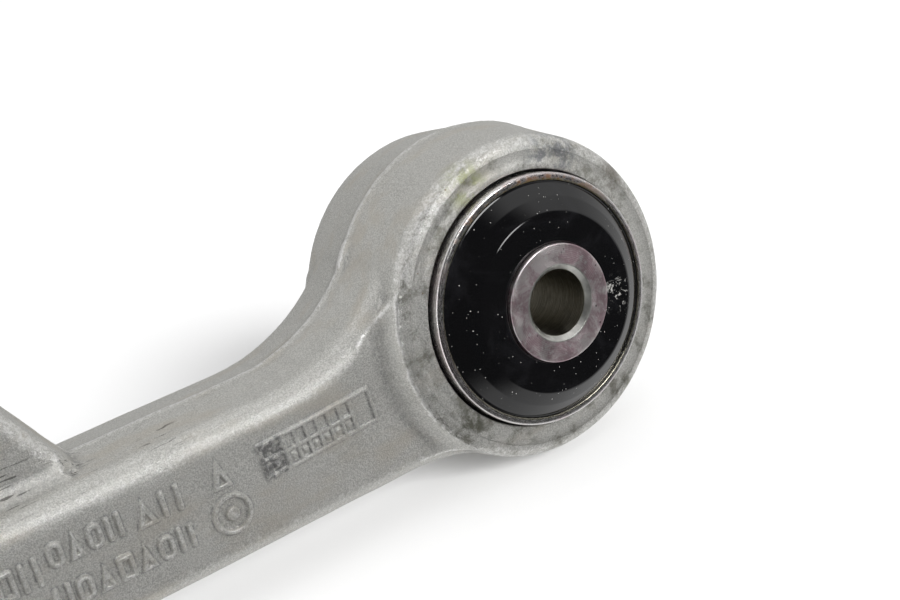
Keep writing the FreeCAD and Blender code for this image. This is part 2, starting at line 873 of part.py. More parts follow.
def make_dust_boot():
    """Rubber boot: bead in the housing's groove, one bulge, and a lip round the slide ring."""
    centre = V(ball_x, 0, ball_z)
    inner_lip = slide_ring_outer + bond_gap
    neck = housing_neck_radius + boot_seat_gap
    profile = [
        (boot_groove_radius, boot_groove_low + boot_groove_gap),
        (neck, boot_groove_low + boot_groove_gap),
        (neck, boot_bead_low),
        (boot_bead_radius, boot_bead_low),
        (boot_bead_radius, boot_bead_high),
        *boot_outer_bulge,
        (boot_lip_radius, boot_lip_low),
        (boot_lip_radius, boot_lip_high),
        (inner_lip, boot_lip_high),
        (inner_lip, boot_lip_low + boot_groove_gap),
        *boot_inner_bulge,
        (neck, housing_top),
        (neck, boot_groove_high - boot_groove_gap),
        (boot_groove_radius, boot_groove_high - boot_groove_gap),
    ]
    return revolved(profile, centre, Z_AXIS)


def clamp_band(radius, height, coils):
    """Wire clamp: a few round turns stacked side by side."""
    centre = V(ball_x, 0, ball_z)
    turns = []
    for turn in range(coils):
        level = height + (turn - (coils - 1) / 2) * 2 * boot_band_wire
        turns.append(Part.makeTorus(radius + boot_band_wire, boot_band_wire, centre + Z_AXIS * level, Z_AXIS))
    return turns[0] if coils == 1 else turns[0].multiFuse(turns[1:])


def make_slide_ring():
    """Ring in the boot's lip that the stud turns in, with a small flange below the lip."""
    centre = V(ball_x, 0, ball_z)
    profile = [
        (slide_ring_inner, slide_ring_low),
        (slide_flange_radius, slide_ring_low),
        (slide_flange_radius, slide_ring_low + slide_flange_thickness),
        (slide_ring_outer, slide_ring_low + slide_flange_thickness),
        (slide_ring_outer, slide_ring_high),
        (slide_ring_inner, slide_ring_high),
    ]
    return revolved(profile, centre, Z_AXIS)


def make_stud_nut():
    """Hexagon nut with chamfered corners and a round collar that grips the locking ring."""
    centre = V(ball_x, 0, ball_z)
    low = nut_low
    hex_top = low + nut_height
    top = hex_top + nut_collar_height
    corner_radius = nut_across / math.sqrt(3)
    drop = (corner_radius - nut_across / 2) * math.tan(math.radians(nut_chamfer_angle))
    limit = [
        (0, low),
        (nut_across / 2, low),
        (corner_radius, low + drop),
        (corner_radius, hex_top - drop),
        (nut_across / 2, hex_top),
        (0, hex_top),
    ]
    body = hexagon(nut_across, low, hex_top, centre).common(revolved(limit, centre, Z_AXIS))
    body = body.fuse(disc(nut_collar_radius, hex_top, top, centre, Z_AXIS))
    seat_top = top - insert_recess
    bore = disc(nut_thread_bore, low - tool_overrun, top + tool_overrun, centre, Z_AXIS)
    seat = disc(insert_outer, seat_top - insert_height, seat_top, centre, Z_AXIS)
    mouth = disc(insert_outer - insert_lip, seat_top - insert_height / 2, top + tool_overrun, centre, Z_AXIS)
    return body.cut(bore).cut(seat).cut(mouth)


def make_nut_insert():
    centre = V(ball_x, 0, ball_z)
    top = nut_low + nut_height + nut_collar_height - insert_recess
    ring = disc(insert_outer, top - insert_height, top, centre, Z_AXIS)
    return ring.cut(disc(insert_inner, top - insert_height, top, centre, Z_AXIS))


def make_nut_washer():
    """Captive washer under the nut."""
    centre = V(ball_x, 0, ball_z)
    low = nut_low - nut_washer_thickness
    profile = [
        (washer_inner, low),
        (washer_outer, low),
        (washer_outer, low + nut_washer_rim),
        (nut_across / 2, nut_low),
        (washer_inner, nut_low),
    ]
    return revolved(profile, centre, Z_AXIS)


def make_everything():
    pivot = V(0, 0, 0)
    damper = V(damper_x, 0, damper_z)
    return {
        "arm_forging": make_arm_forging(),
        "pivot_outer_sleeve": bush_shell(
            pivot, pivot_shell_inner, pivot_eye_bore, pivot_shell_half_length, shell_lip_round),
        "pivot_rubber": bush_rubber(
            pivot, pivot_core_radius, pivot_shell_inner, pivot_shell_half_length - shell_lip_round,
            pivot_rubber_ridge_radius, pivot_rubber_ridge_height, pivot_rubber_foot_height),
        "pivot_inner_sleeve": bush_core(pivot, pivot_core_bore, pivot_core_radius, pivot_core_half_length),
        "damper_outer_sleeve": bush_shell(
            damper, damper_shell_inner, damper_eye_bore, damper_shell_half_length, damper_lip_round),
        "damper_rubber": bush_rubber(
            damper, damper_core_radius, damper_shell_inner, damper_shell_half_length - damper_lip_round,
            damper_rubber_ridge_radius, damper_rubber_ridge_height, damper_rubber_foot_height),
        "damper_inner_sleeve": bush_core(
            damper, damper_core_bore, damper_core_radius, damper_core_half_length),
        "link_sleeve": make_link_sleeve(),
        "ball_stud": make_ball_stud(),
        "seat_upper": make_seat_upper(),
        "seat_lower": make_seat_lower(),
        "preload_washer": make_preload_washer(),
        "cover_plate": make_cover_plate(),
        "dust_boot": make_dust_boot(),
        "boot_lower_clamp": clamp_band(boot_bead_radius, (boot_bead_low + boot_bead_high) / 2, 2),
        "boot_upper_clamp": clamp_band(boot_lip_radius + bond_gap, (boot_lip_low + boot_lip_high) / 2, 2),
        "slide_ring": make_slide_ring(),
        "stud_nut": make_stud_nut(),
        "nut_locking_ring": make_nut_insert(),
        "nut_washer": make_nut_washer(),
    }


os.makedirs("parts", exist_ok=True)
for name, shape in make_everything().items():
    print(f"{name:22s} valid {shape.isValid()} solids {len(shape.Solids)} volume {shape.Volume:9.0f} mm3")
    shape.exportStep(f"parts/{name}.step")
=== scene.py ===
"""Looks of a forged aluminium control arm with two bonded bushes and a ball joint.

Everything is in metres, in the frame of the CAD part: the pivot bush is at the
origin with its axis along Y, the arm reaches along -X, and Z is up.
"""

import math

import bmesh
import bpy
import numpy as np
from mathutils import Matrix, Vector, noise


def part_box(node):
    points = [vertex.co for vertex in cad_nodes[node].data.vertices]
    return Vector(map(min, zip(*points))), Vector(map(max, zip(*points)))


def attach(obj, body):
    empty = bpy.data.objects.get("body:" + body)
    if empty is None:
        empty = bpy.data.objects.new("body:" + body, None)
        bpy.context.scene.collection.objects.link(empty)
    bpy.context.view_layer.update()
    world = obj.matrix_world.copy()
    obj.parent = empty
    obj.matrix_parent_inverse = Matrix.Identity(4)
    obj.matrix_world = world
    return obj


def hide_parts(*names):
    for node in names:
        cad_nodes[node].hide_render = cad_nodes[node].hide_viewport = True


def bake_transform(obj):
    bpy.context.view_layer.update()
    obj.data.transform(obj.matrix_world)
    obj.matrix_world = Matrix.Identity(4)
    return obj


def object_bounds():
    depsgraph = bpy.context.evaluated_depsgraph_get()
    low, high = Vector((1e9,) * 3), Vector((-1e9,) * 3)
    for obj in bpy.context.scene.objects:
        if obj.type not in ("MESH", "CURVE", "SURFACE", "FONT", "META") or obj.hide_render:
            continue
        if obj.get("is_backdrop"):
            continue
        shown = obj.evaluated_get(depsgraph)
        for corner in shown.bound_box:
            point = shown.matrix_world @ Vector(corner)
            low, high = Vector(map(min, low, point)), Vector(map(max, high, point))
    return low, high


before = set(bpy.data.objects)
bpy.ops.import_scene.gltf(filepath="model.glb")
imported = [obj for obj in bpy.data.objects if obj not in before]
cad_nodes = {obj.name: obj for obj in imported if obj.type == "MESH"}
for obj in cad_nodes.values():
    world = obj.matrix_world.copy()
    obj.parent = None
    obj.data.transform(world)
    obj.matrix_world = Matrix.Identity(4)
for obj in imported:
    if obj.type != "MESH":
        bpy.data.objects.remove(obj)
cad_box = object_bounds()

MM = 0.001
Y_AXIS = (0, 1, 0)
Z_AXIS = (0, 0, 1)
TURN_STEPS = 192

# --- Camera ---
camera_place = Vector((-134.4, -225.3, 79.7)) * MM
camera_azimuth = -29.3
camera_elevation = -17.04
camera_roll = -15.1
camera_lens = 56.0
camera_sensor = 36.0

# --- Forging ---
skin_voxel = 0.52 * MM
skin_smoothing_rounds = 3
wobble_depth = 0.09 * MM
wobble_size = 8.0 * MM
edge_blur_rounds = 5
edge_blur_stand = 0.11 * MM
parting_ridge_stand = 0.26 * MM
parting_ridge_width = 0.8 * MM
parting_mismatch = 0.16 * MM
parting_mismatch_half_width = 0.8 * MM
parting_wave_size = 3.1 * MM
parting_fade = (30.5 * MM, 31.5 * MM)
wobble_fade = (25.5 * MM, 28.5 * MM)
eye_face_gap = 0.05 * MM
mouth_chamfer = 0.55 * MM
# Outer radius of the painted shade in the gap round the pivot bush
mouth_radius = 24.1 * MM

# --- Eyes: machined mouths, and the finish of the pivot eye's face ---
pivot_eye_bore = 23.5 * MM
pivot_eye_half_width = 18.25 * MM
damper_eye_bore = 18.0 * MM
damper_eye_half_width = 16.5 * MM
mouth_depth = 2.6 * MM
mouth_face_reach = 3.6 * MM
face_finish_from = 16.6 * MM
face_finish_full = 17.8 * MM
rim_inner_fade = (28.4 * MM, 29.4 * MM)
rim_outer_fade = (31.6 * MM, 30.6 * MM)

# --- Bushes ---
bolt_bore = 6.1 * MM
pivot_ridge_share = 0.515
damper_ridge_share = 0.52
sleeve_outer_lip = 1.0 * MM
sleeve_inner_lip = 0.3 * MM
core_chamfer = 0.9 * MM
core_edge = 0.14 * MM
face_tool_pitch = 0.34 * MM
bore_tool_pitch = 0.45 * MM

# --- Raised marks on the beam's side face, in millimetres ---
beam_face_y = -14.3 * MM
beam_face_slack = 0.7 * MM
mark_area = ((-108.6, -17.4), (-35.9, -1.9))
mark_cuts = 3
mark_height = 0.72
mark_stroke = 0.8
mark_softness = 0.15
mark_top_wear = 0.55
# Painted shade at the foot of each stroke
mark_foot_shade = 0.6
mark_rows = (
    # x of the first mark, z of the row's foot, mark width, mark height, gap, kinds from left to right
    (-106.4, -9.6, 3.1, 4.9, 0.9, ("square", "bars")),
    (-97.6, -7.9, 2.6, 4.2, 0.75, ("ring", "triangle", "ring", "bars")),
    (-82.7, -8.3, 3.5, 4.6, 1.2, ("triangle", "bars")),
    (-98.6, -15.2, 2.8, 4.2, 0.78, ("bars", "ring", "triangle", "square", "triangle", "ring", "bars")),
    (-68.9, -8.1, 3.5, 5.2, 0.0, ("triangle",)),
)
emblem_x, emblem_z, emblem_radius, emblem_dot = -67.0, -12.9, 3.2, 1.2
grid_x, grid_z, grid_length, grid_width, grid_tilt = -48.0, -6.6, 23.0, 6.6, 3.0
grid_rim = 0.6
grid_columns = 6
grid_end_block = 4.3
grid_end_box = 3.9
grid_plate_height = 0.42
grid_pocket_depth = 0.4
grid_nub_radius = 0.5
grid_nub_height = 0.3
grid_nub_softness = 0.2
grid_corner = 0.3
grid_pocket_corner = 0.15
grid_block_corner = 0.4
# Painted shade along the grid's outline and inside its pockets; dirt on its end block
grid_outline_shade = 0.5
grid_pocket_shade = 0.85
grid_block_soil = 0.85

# --- Stains on the pivot eye's face: place, reach, colour and strength ---
eye_stains = (
    (Vector((10.0, -18.3, 23.5)) * MM, 8.0 * MM, (0.17, 0.18, 0.20), 0.75),
    (Vector((-9.0, -18.3, 25.2)) * MM, 6.0 * MM, (0.36, 0.38, 0.20), 0.7),
    (Vector((-20.5, -18.3, -16.8)) * MM, 5.0 * MM, (0.12, 0.12, 0.09), 0.85),
    (Vector((12.6, -18.3, -23.3)) * MM, 4.0 * MM, (0.13, 0.12, 0.09), 0.7),
    (Vector((-29.0, -18.3, -4.0)) * MM, 7.0 * MM, (0.26, 0.25, 0.21), 0.25),
    (Vector((22.5, -18.3, 16.5)) * MM, 4.0 * MM, (0.14, 0.12, 0.09), 0.6),
)

# --- Painted highlight and rust flecks on one part of its rim, a scratched part of its rim, and scuffs on the rubber ---
rim_rust_and_highlight_place = Vector((-22.0, -18.3, 20.0)) * MM
rim_scratch_place = Vector((-24.0, -18.3, -17.0)) * MM
scuff_place = Vector((13.2, -24.3, -3.5)) * MM

# --- Dark folds in the forging's skin, beside the lug: place, reach and strength ---
lap_places = (
    (Vector((-86.0, -9.0, 3.0)) * MM, 7.0 * MM, 0.85),
    (Vector((-72.0, -9.0, 3.4)) * MM, 6.0 * MM, 0.85),
    (Vector((-99.0, -9.0, 6.0)) * MM, 8.0 * MM, 0.7),
)

# --- Ball joint, heights above the ball's centre ---
ball_centre = Vector((-350.0, 0, -9.0)) * MM
thread_pitch = 1.5 * MM
thread_major = 5.95 * MM
thread_minor = 5.2 * MM
thread_low = 52.0 * MM
thread_high = 68.2 * MM
thread_rows_per_turn = 14
thread_fade_rows = 10
ball_radius = 13.5 * MM
ball_steps = 40
neck_radius = 6.8 * MM
socket_radius = 3.46 * MM
socket_depth = 14.0 * MM
socket_middle = 70.4 * MM
clamp_turns = 2.08
clamp_start_angle = 0.6
clamp_wire_share = 0.98

# --- Room, floor and lights ---
# A patch of the room fills the directions round its own; start and full are the
# cosines of the angles at which it begins to show and shows in full.
wall_light = 0.64
ceiling_light = 0.94
ground_light = 0.86
back_light = 0.5
front_light = 0.05
front_direction = (-0.21, -0.977, 0)
side_direction = (-0.9, -0.25, -0.1)
side_light = 2.2
lamp_direction = (0.22, -0.87, 0.42)
lamp_light = 10.0
horizon_light = 0.55
zenith_light = 0.90
seen_background = 1.05
key_direction = (0.0, -0.94, 0.33)
key_spread = 24.0
key_strength = 6.4
floor_size = 8.0
floor_gap = 0.02 * MM
floor_tone = (0.74, 0.74, 0.74, 1)


# ======== Mesh helpers ========

def new_object(name, data):
    """Adds an object with a mesh, a light or a camera to the scene."""
    made = bpy.data.objects.new(name, data)
    bpy.context.scene.collection.objects.link(made)
    return made


def add_piece(name, mesh, body, material, stands_for=()):
    """Adds a piece to the scene, with its material, its CAD body and the nodes that it replaces."""
    piece = new_object(name, mesh)
    mesh.materials.clear()
    mesh.materials.append(material)
    if body:
        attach(piece, body)
    if stands_for:
        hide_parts(*stands_for)
    return piece


def rounded(points, closed=True, steps=5):
    """Replaces each corner (radius, along, rounding) of an outline with an arc of that rounding."""
    flat = [Vector(point[:2]) for point in points]
    count = len(points)
    result = []
    for index, point in enumerate(points):
        corner = flat[index]
        rounding = point[2] if len(point) > 2 else 0.0
        inside = closed or 0 < index < count - 1
        if rounding <= 0 or not inside:
            result.append(corner)
            continue
        back = (flat[index - 1] - corner)
        ahead = (flat[(index + 1) % count] - corner)
        half = back.angle(ahead) / 2
        reach = min(rounding / math.tan(half), 0.49 * back.length, 0.49 * ahead.length)
        start = corner + back.normalized() * reach
        end = corner + ahead.normalized() * reach
        for step in range(steps + 1):
            t = step / steps
            result.append(start * (1 - t) ** 2 + corner * (2 * t * (1 - t)) + end * t ** 2)
    return result


def finished(shape, name):
    """Turns a bmesh into a smooth-shaded mesh and frees it."""
    mesh = bpy.data.meshes.new(name)
    shape.to_mesh(mesh)
    shape.free()
    mesh.shade_smooth()
    return mesh


def join_rings(shape, rings):
    """Adds the faces between each ring of vertices and the next."""
    for first, second in zip(rings, rings[1:]):
        for step in range(len(first)):
            following = (step + 1) % len(first)
            shape.faces.new((first[step], first[following], second[following], second[step]))


def lathe_mesh(name, outline, centre, axis, closed=True, turn_steps=TURN_STEPS):
    """Surface of revolution of an outline of (radius, along) about an axis through centre."""
    along_axis = Vector(axis).normalized()
    side = along_axis.orthogonal().normalized()
    other = along_axis.cross(side)
    shape = bmesh.new()
    rings = []
    for radius, along in outline:
        ring = []
        if radius < 1e-7:
            ring = [shape.verts.new(centre + along_axis * along)] * turn_steps
        else:
            for step in range(turn_steps):
                angle = 2 * math.pi * step / turn_steps
                offset = side * math.cos(angle) + other * math.sin(angle)
                ring.append(shape.verts.new(centre + offset * radius + along_axis * along))
        rings.append(ring)
    pairs = list(zip(rings, rings[1:]))
    if closed:
        pairs.append((rings[-1], rings[0]))
    for first, second in pairs:
        for step in range(turn_steps):
            following = (step + 1) % turn_steps
            corners = [first[step], first[following], second[following], second[step]]
            unique = list(dict.fromkeys(corners))
            if len(unique) > 2:
                shape.faces.new(unique)
    bmesh.ops.recalc_face_normals(shape, faces=shape.faces)
    return finished(shape, name)


def even_normals(piece):
    modifier = piece.modifiers.new("even_normals", "WEIGHTED_NORMAL")
    modifier.keep_sharp = True
    return piece


def applied(piece):
    """The mesh of a piece with its modifiers applied; the piece is removed."""
    depsgraph = bpy.context.evaluated_depsgraph_get()
    mesh = bpy.data.meshes.new_from_object(piece.evaluated_get(depsgraph))
    bpy.data.objects.remove(piece)
    return mesh


def cad_mesh(node):
    """A copy of a CAD node's mesh with its seams closed."""
    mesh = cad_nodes[node].data.copy()
    shape = bmesh.new()
    shape.from_mesh(mesh)
    bmesh.ops.remove_doubles(shape, verts=shape.verts, dist=1e-6)
    shape.to_mesh(mesh)
    shape.free()
    return mesh


# ======== Material helpers ========

class Recipe:
    """The node tree of one material, written as short calls."""

    def __init__(self, name, **values):
        self.material = bpy.data.materials.new(name)
        self.material.use_nodes = True
        self.tree = self.material.node_tree
        self.shader = self.tree.nodes["Principled BSDF"]
        self.place = self.tree.nodes.new("ShaderNodeTexCoord").outputs["Object"]
        for socket, value in values.items():
            self.shader.inputs[socket.replace("_", " ")].default_value = value

    def feed(self, socket, value):
        if isinstance(value, bpy.types.NodeSocket):
            self.tree.links.new(value, socket)
        else:
            socket.default_value = value

    def calculate(self, operation, *values):
        node = self.tree.nodes.new("ShaderNodeMath")
        node.operation = operation
        for socket, value in zip(node.inputs, values):
            self.feed(socket, value)
        return node.outputs[0]

    def stretched(self, scale, offset=(0, 0, 0)):
        """Coordinates scaled differently along X, Y and Z."""
        node = self.tree.nodes.new("ShaderNodeMapping")
        node.inputs["Scale"].default_value = scale
        node.inputs["Location"].default_value = offset
        self.feed(node.inputs["Vector"], self.place)
        return node.outputs[0]

    def noise(self, scale, detail=3.0, roughness=0.55, vector=None, distortion=0.0):
        node = self.tree.nodes.new("ShaderNodeTexNoise")
        self.feed(node.inputs["Vector"], vector or self.place)
        settings = {"Scale": scale, "Detail": detail, "Roughness": roughness, "Distortion": distortion}
        for name, value in settings.items():
            node.inputs[name].default_value = value
        return node.outputs[0]

    def voronoi(self, scale):
        node = self.tree.nodes.new("ShaderNodeTexVoronoi")
        self.feed(node.inputs["Vector"], self.place)
        node.inputs["Scale"].default_value = scale
        return node

    def cells(self, scale):
        """Distance from the middle of the nearest cell of an uneven pattern."""
        return self.voronoi(scale).outputs["Distance"]

    def specks(self, scale, size, share):
        """Small round dots, one in each chosen cell of a pattern."""
        node = self.voronoi(scale)
        parts = self.tree.nodes.new("ShaderNodeSeparateColor")
        self.feed(parts.inputs[0], node.outputs["Color"])
        chosen = self.calculate("LESS_THAN", parts.outputs[0], share)
        radius = self.calculate("ADD", self.product(parts.outputs[1], size), size * 0.4)
        dot = self.calculate("LESS_THAN", node.outputs["Distance"], radius)
        return self.product(dot, chosen)

    def near(self, spot, reach):
        """1 at a spot on the part, fading to 0 at the given reach."""
        node = self.tree.nodes.new("ShaderNodeVectorMath")
        node.operation = "DISTANCE"
        self.feed(node.inputs[0], self.place)
        node.inputs[1].default_value = spot
        return self.between(node.outputs["Value"], reach, 0.35 * reach)

    def off_middle(self):
        """Distance from the plane through the middle of the part, across Y."""
        return self.calculate("ABSOLUTE", self.axis("Y"))

    def attribute(self, name):
        node = self.tree.nodes.new("ShaderNodeAttribute")
        node.attribute_name = name
        return node.outputs["Fac"]

    def axis(self, letter):
        node = self.tree.nodes.new("ShaderNodeSeparateXYZ")
        self.feed(node.inputs[0], self.place)
        return node.outputs[letter]

    def from_centre(self, letter, centre):
        """Distance along one axis from a centre."""
        return self.calculate("SUBTRACT", self.axis(letter), centre["XYZ".index(letter)])

    def radius_about_y(self, centre):
        """Distance from an axis along Y through centre."""
        x = self.from_centre("X", centre)
        z = self.from_centre("Z", centre)
        squared = self.calculate("ADD", self.product(x, x), self.product(z, z))
        return self.calculate("SQRT", squared)

    def around_y(self, centre, radial, circling):
        """Coordinates that run outward from an axis along Y and round it, each with its own scale."""
        angle = self.calculate("ARCTAN2", self.from_centre("Z", centre), self.from_centre("X", centre))
        node = self.tree.nodes.new("ShaderNodeCombineXYZ")
        self.feed(node.inputs[0], self.product(self.radius_about_y(centre), radial))
        self.feed(node.inputs[1], self.product(angle, circling))
        self.feed(node.inputs[2], self.product(self.axis("Y"), radial))
        return node.outputs[0]

    def between(self, value, low, high, to_low=0.0, to_high=1.0):
        """A smooth step from low to high, limited at both ends."""
        node = self.tree.nodes.new("ShaderNodeMapRange")
        node.interpolation_type = "SMOOTHSTEP"
        node.clamp = True
        self.feed(node.inputs["Value"], value)
        for name, bound in (("From Min", low), ("From Max", high), ("To Min", to_low), ("To Max", to_high)):
            node.inputs[name].default_value = bound
        return node.outputs["Result"]

    def blend(self, share, first, second):
        node = self.tree.nodes.new("ShaderNodeMix")
        node.data_type = "RGBA"
        self.feed(node.inputs["Factor"], share)
        self.feed(node.inputs["A"], self.colour(first))
        self.feed(node.inputs["B"], self.colour(second))
        return node.outputs["Result"]

    def colour(self, value):
        return (*value, 1.0) if isinstance(value, tuple) and len(value) == 3 else value

    def product(self, *values):
        result = values[0]
        for value in values[1:]:
            result = self.calculate("MULTIPLY", result, value)
        return result

    def bump(self, height, depth, normal=None):
        """Moves the shading normal as a relief of the given depth in metres would."""
        node = self.tree.nodes.new("ShaderNodeBump")
        node.inputs["Strength"].default_value = 1.0
        node.inputs["Distance"].default_value = depth
        self.feed(node.inputs["Height"], height)
        if normal is not None:
            self.feed(node.inputs["Normal"], normal)
        return node.outputs[0]

    def set(self, **sockets):
        for name, value in sockets.items():
            self.feed(self.shader.inputs[name.replace("_", " ")], value)
        return self.material


# ======== Materials ========

def forged_aluminium():
    """Shot-blasted forging: grainy satin metal, polished on its edges, stained on the eye's face, with
    painted shade in its hollows and in the gap round the pivot bush, and a painted highlight on part of the
    pivot eye's rim.
    """
    recipe = Recipe("forged_aluminium", Metallic=0.94)
    grain = recipe.noise(3900, detail=2.0, roughness=0.6)
    speckle = recipe.cells(3000)
    cloud = recipe.noise(70, detail=4.0)
    streak = recipe.noise(1.0, detail=3.0, vector=recipe.stretched((60, 160, 160)))

    base = recipe.blend(recipe.between(grain, 0.32, 0.68), (0.42, 0.416, 0.392), (0.71, 0.705, 0.675))
    base = recipe.blend(recipe.between(cloud, 0.35, 0.7, 0.0, 0.3), base, (0.64, 0.63, 0.60))
    base = recipe.blend(recipe.between(streak, 0.5, 0.72, 0.0, 0.4), base, (0.55, 0.50, 0.42))

    edge = recipe.attribute("edge_wear")
    broken = recipe.noise(1500, detail=4.0, roughness=0.75)
    polish = recipe.calculate("ADD", edge, recipe.between(broken, 0.3, 0.7, -0.5, 0.35))
    polish = recipe.between(polish, 0.35, 1.1, 0.0, 0.75)
    base = recipe.blend(polish, base, (0.88, 0.875, 0.86))

    # Painted shade in hollows and at the foot of the raised marks, with dirt on the grid's end block,
    # broken up by a noise
    painted_shade_and_dirt = recipe.attribute("painted_shade_and_dirt")
    clods = recipe.between(recipe.noise(900, detail=4.0, roughness=0.75), 0.38, 0.58)
    base = recipe.blend(recipe.product(painted_shade_and_dirt, clods, 0.9), base, (0.13, 0.13, 0.135))

    pits = recipe.specks(420, 0.07, 0.14)
    pit_patch = recipe.between(recipe.noise(45, detail=2.0), 0.46, 0.60)
    base = recipe.blend(recipe.product(pits, pit_patch, 0.85), base, (0.08, 0.075, 0.07))

    on_face = recipe.between(recipe.off_middle(), face_finish_from, face_finish_full)
    dirt = recipe.between(recipe.noise(260, detail=6.0, roughness=0.75), 0.48, 0.66)
    base = recipe.blend(recipe.product(on_face, dirt, 0.8), base, (0.22, 0.215, 0.18))
    for spot, reach, tone, strength in eye_stains:
        blotch = recipe.between(recipe.noise(310, detail=5.0, roughness=0.7, distortion=0.4), 0.42, 0.6)
        stain = recipe.product(recipe.near(spot, reach), blotch, strength)
        base = recipe.blend(stain, base, tone)

    lap_place = recipe.stretched((170, 1500, 1500), offset=(0.3, 0.1, 0.7))
    laps = recipe.between(recipe.noise(1.0, detail=3.0, roughness=0.6, vector=lap_place), 0.60, 0.66)
    for spot, reach, strength in lap_places:
        lap = recipe.product(laps, recipe.near(spot, reach), strength)
        base = recipe.blend(lap, base, (0.05, 0.045, 0.04))

    rusty = recipe.near(rim_rust_and_highlight_place, 24.0 * MM)
    rust_flecks = recipe.product(recipe.specks(900, 0.14, 0.3), rusty, on_face)
    base = recipe.blend(recipe.product(rust_flecks, 0.7), base, (0.22, 0.14, 0.06))

    radius = recipe.radius_about_y((0, 0, 0))
    rim_streaks = recipe.noise(1.0, detail=4.0, roughness=0.7, vector=recipe.around_y((0, 0, 0), 3600, 26.0))
    rim = recipe.product(
        recipe.between(radius, *rim_inner_fade), recipe.between(radius, *rim_outer_fade), on_face)
    # Painted highlight: near-white streaks on the rim near one spot, broken up by a noise
    glint = recipe.between(recipe.noise(2600, detail=3.0, roughness=0.7), 0.42, 0.6)
    painted_highlight = recipe.product(
        rim, recipe.near(rim_rust_and_highlight_place, 19.0 * MM), recipe.between(rim_streaks, 0.44, 0.56), glint)
    base = recipe.blend(painted_highlight, base, (1.0, 0.995, 0.98))
    scratch = recipe.product(
        rim, recipe.near(rim_scratch_place, 13.0 * MM), recipe.between(rim_streaks, 0.53, 0.58))
    base = recipe.blend(recipe.product(scratch, 0.7), base, (0.16, 0.155, 0.14))
    # Painted shade: near-black in the gap between the eye's mouth and the pivot bush's sleeve
    gap = recipe.product(
        recipe.between(radius, mouth_radius, mouth_radius - 0.15 * MM),
        recipe.between(recipe.off_middle(), 18.1 * MM, 17.6 * MM))
    base = recipe.blend(recipe.product(gap, 0.9), base, (0.02, 0.02, 0.02))

    roughness = recipe.between(grain, 0.25, 0.75, 0.46, 0.62)
    roughness = recipe.calculate("SUBTRACT", roughness, recipe.product(polish, 0.16))
    relief = recipe.bump(grain, 0.07 * MM)
    relief = recipe.bump(speckle, 0.035 * MM, relief)
    relief = recipe.bump(recipe.noise(420, detail=3.0), 0.06 * MM, relief)
    return recipe.set(Base_Color=base, Roughness=roughness, Normal=relief)


def sleeve_steel(name, centre, inner_radius):
    """Drawn steel tube: bright rolled lip with heat tint, and rust along its inner edge near the top."""
    recipe = Recipe(name, Metallic=1.0)
    radius = recipe.radius_about_y(centre)
    lines = recipe.noise(1.0, detail=3.0, roughness=0.65, vector=recipe.around_y(centre, 5200, 14.0))
    fine = recipe.noise(2200, detail=3.0, roughness=0.65)
    tint = recipe.between(recipe.noise(120, detail=3.0), 0.42, 0.62)
    base = recipe.blend(recipe.between(fine, 0.35, 0.65), (0.68, 0.665, 0.66), (0.82, 0.805, 0.795))
    base = recipe.blend(recipe.between(lines, 0.5, 0.66, 0.0, 0.3), base, (0.92, 0.91, 0.90))
    base = recipe.blend(recipe.product(tint, 0.5), base, (0.66, 0.55, 0.57))

    def within(start, full):
        """1 close to the inner edge, fading out between two distances from it in millimetres."""
        return recipe.between(radius, inner_radius + start * MM, inner_radius + full * MM)

    height = recipe.calculate("SUBTRACT", recipe.axis("Z"), centre[2])
    high = recipe.between(height, 0.4 * inner_radius, 0.95 * inner_radius)
    rust_noise = recipe.between(recipe.noise(420, detail=5.0, roughness=0.7), 0.46, 0.58)
    rusty = recipe.calculate("MAXIMUM", recipe.product(within(1.0, 0.3), 0.06), high)
    rust = recipe.product(rusty, rust_noise, 0.8, within(1.5, 0.8))
    base = recipe.blend(rust, base, (0.36, 0.17, 0.06))
    flecks = recipe.product(recipe.specks(1400, 0.16, 0.3), within(1.1, 0.7))
    base = recipe.blend(recipe.product(flecks, 0.8), base, (0.34, 0.22, 0.10))
    base = recipe.blend(recipe.product(within(0.42, 0.3), 0.55), base, (0.36, 0.33, 0.17))
    roughness = recipe.between(lines, 0.3, 0.7, 0.2, 0.34)
    roughness = recipe.calculate("ADD", roughness, recipe.product(rust, 0.4))
    relief = recipe.bump(fine, 0.012 * MM)
    relief = recipe.bump(lines, 0.004 * MM, relief)
    return recipe.set(Base_Color=base, Roughness=roughness, Normal=relief)


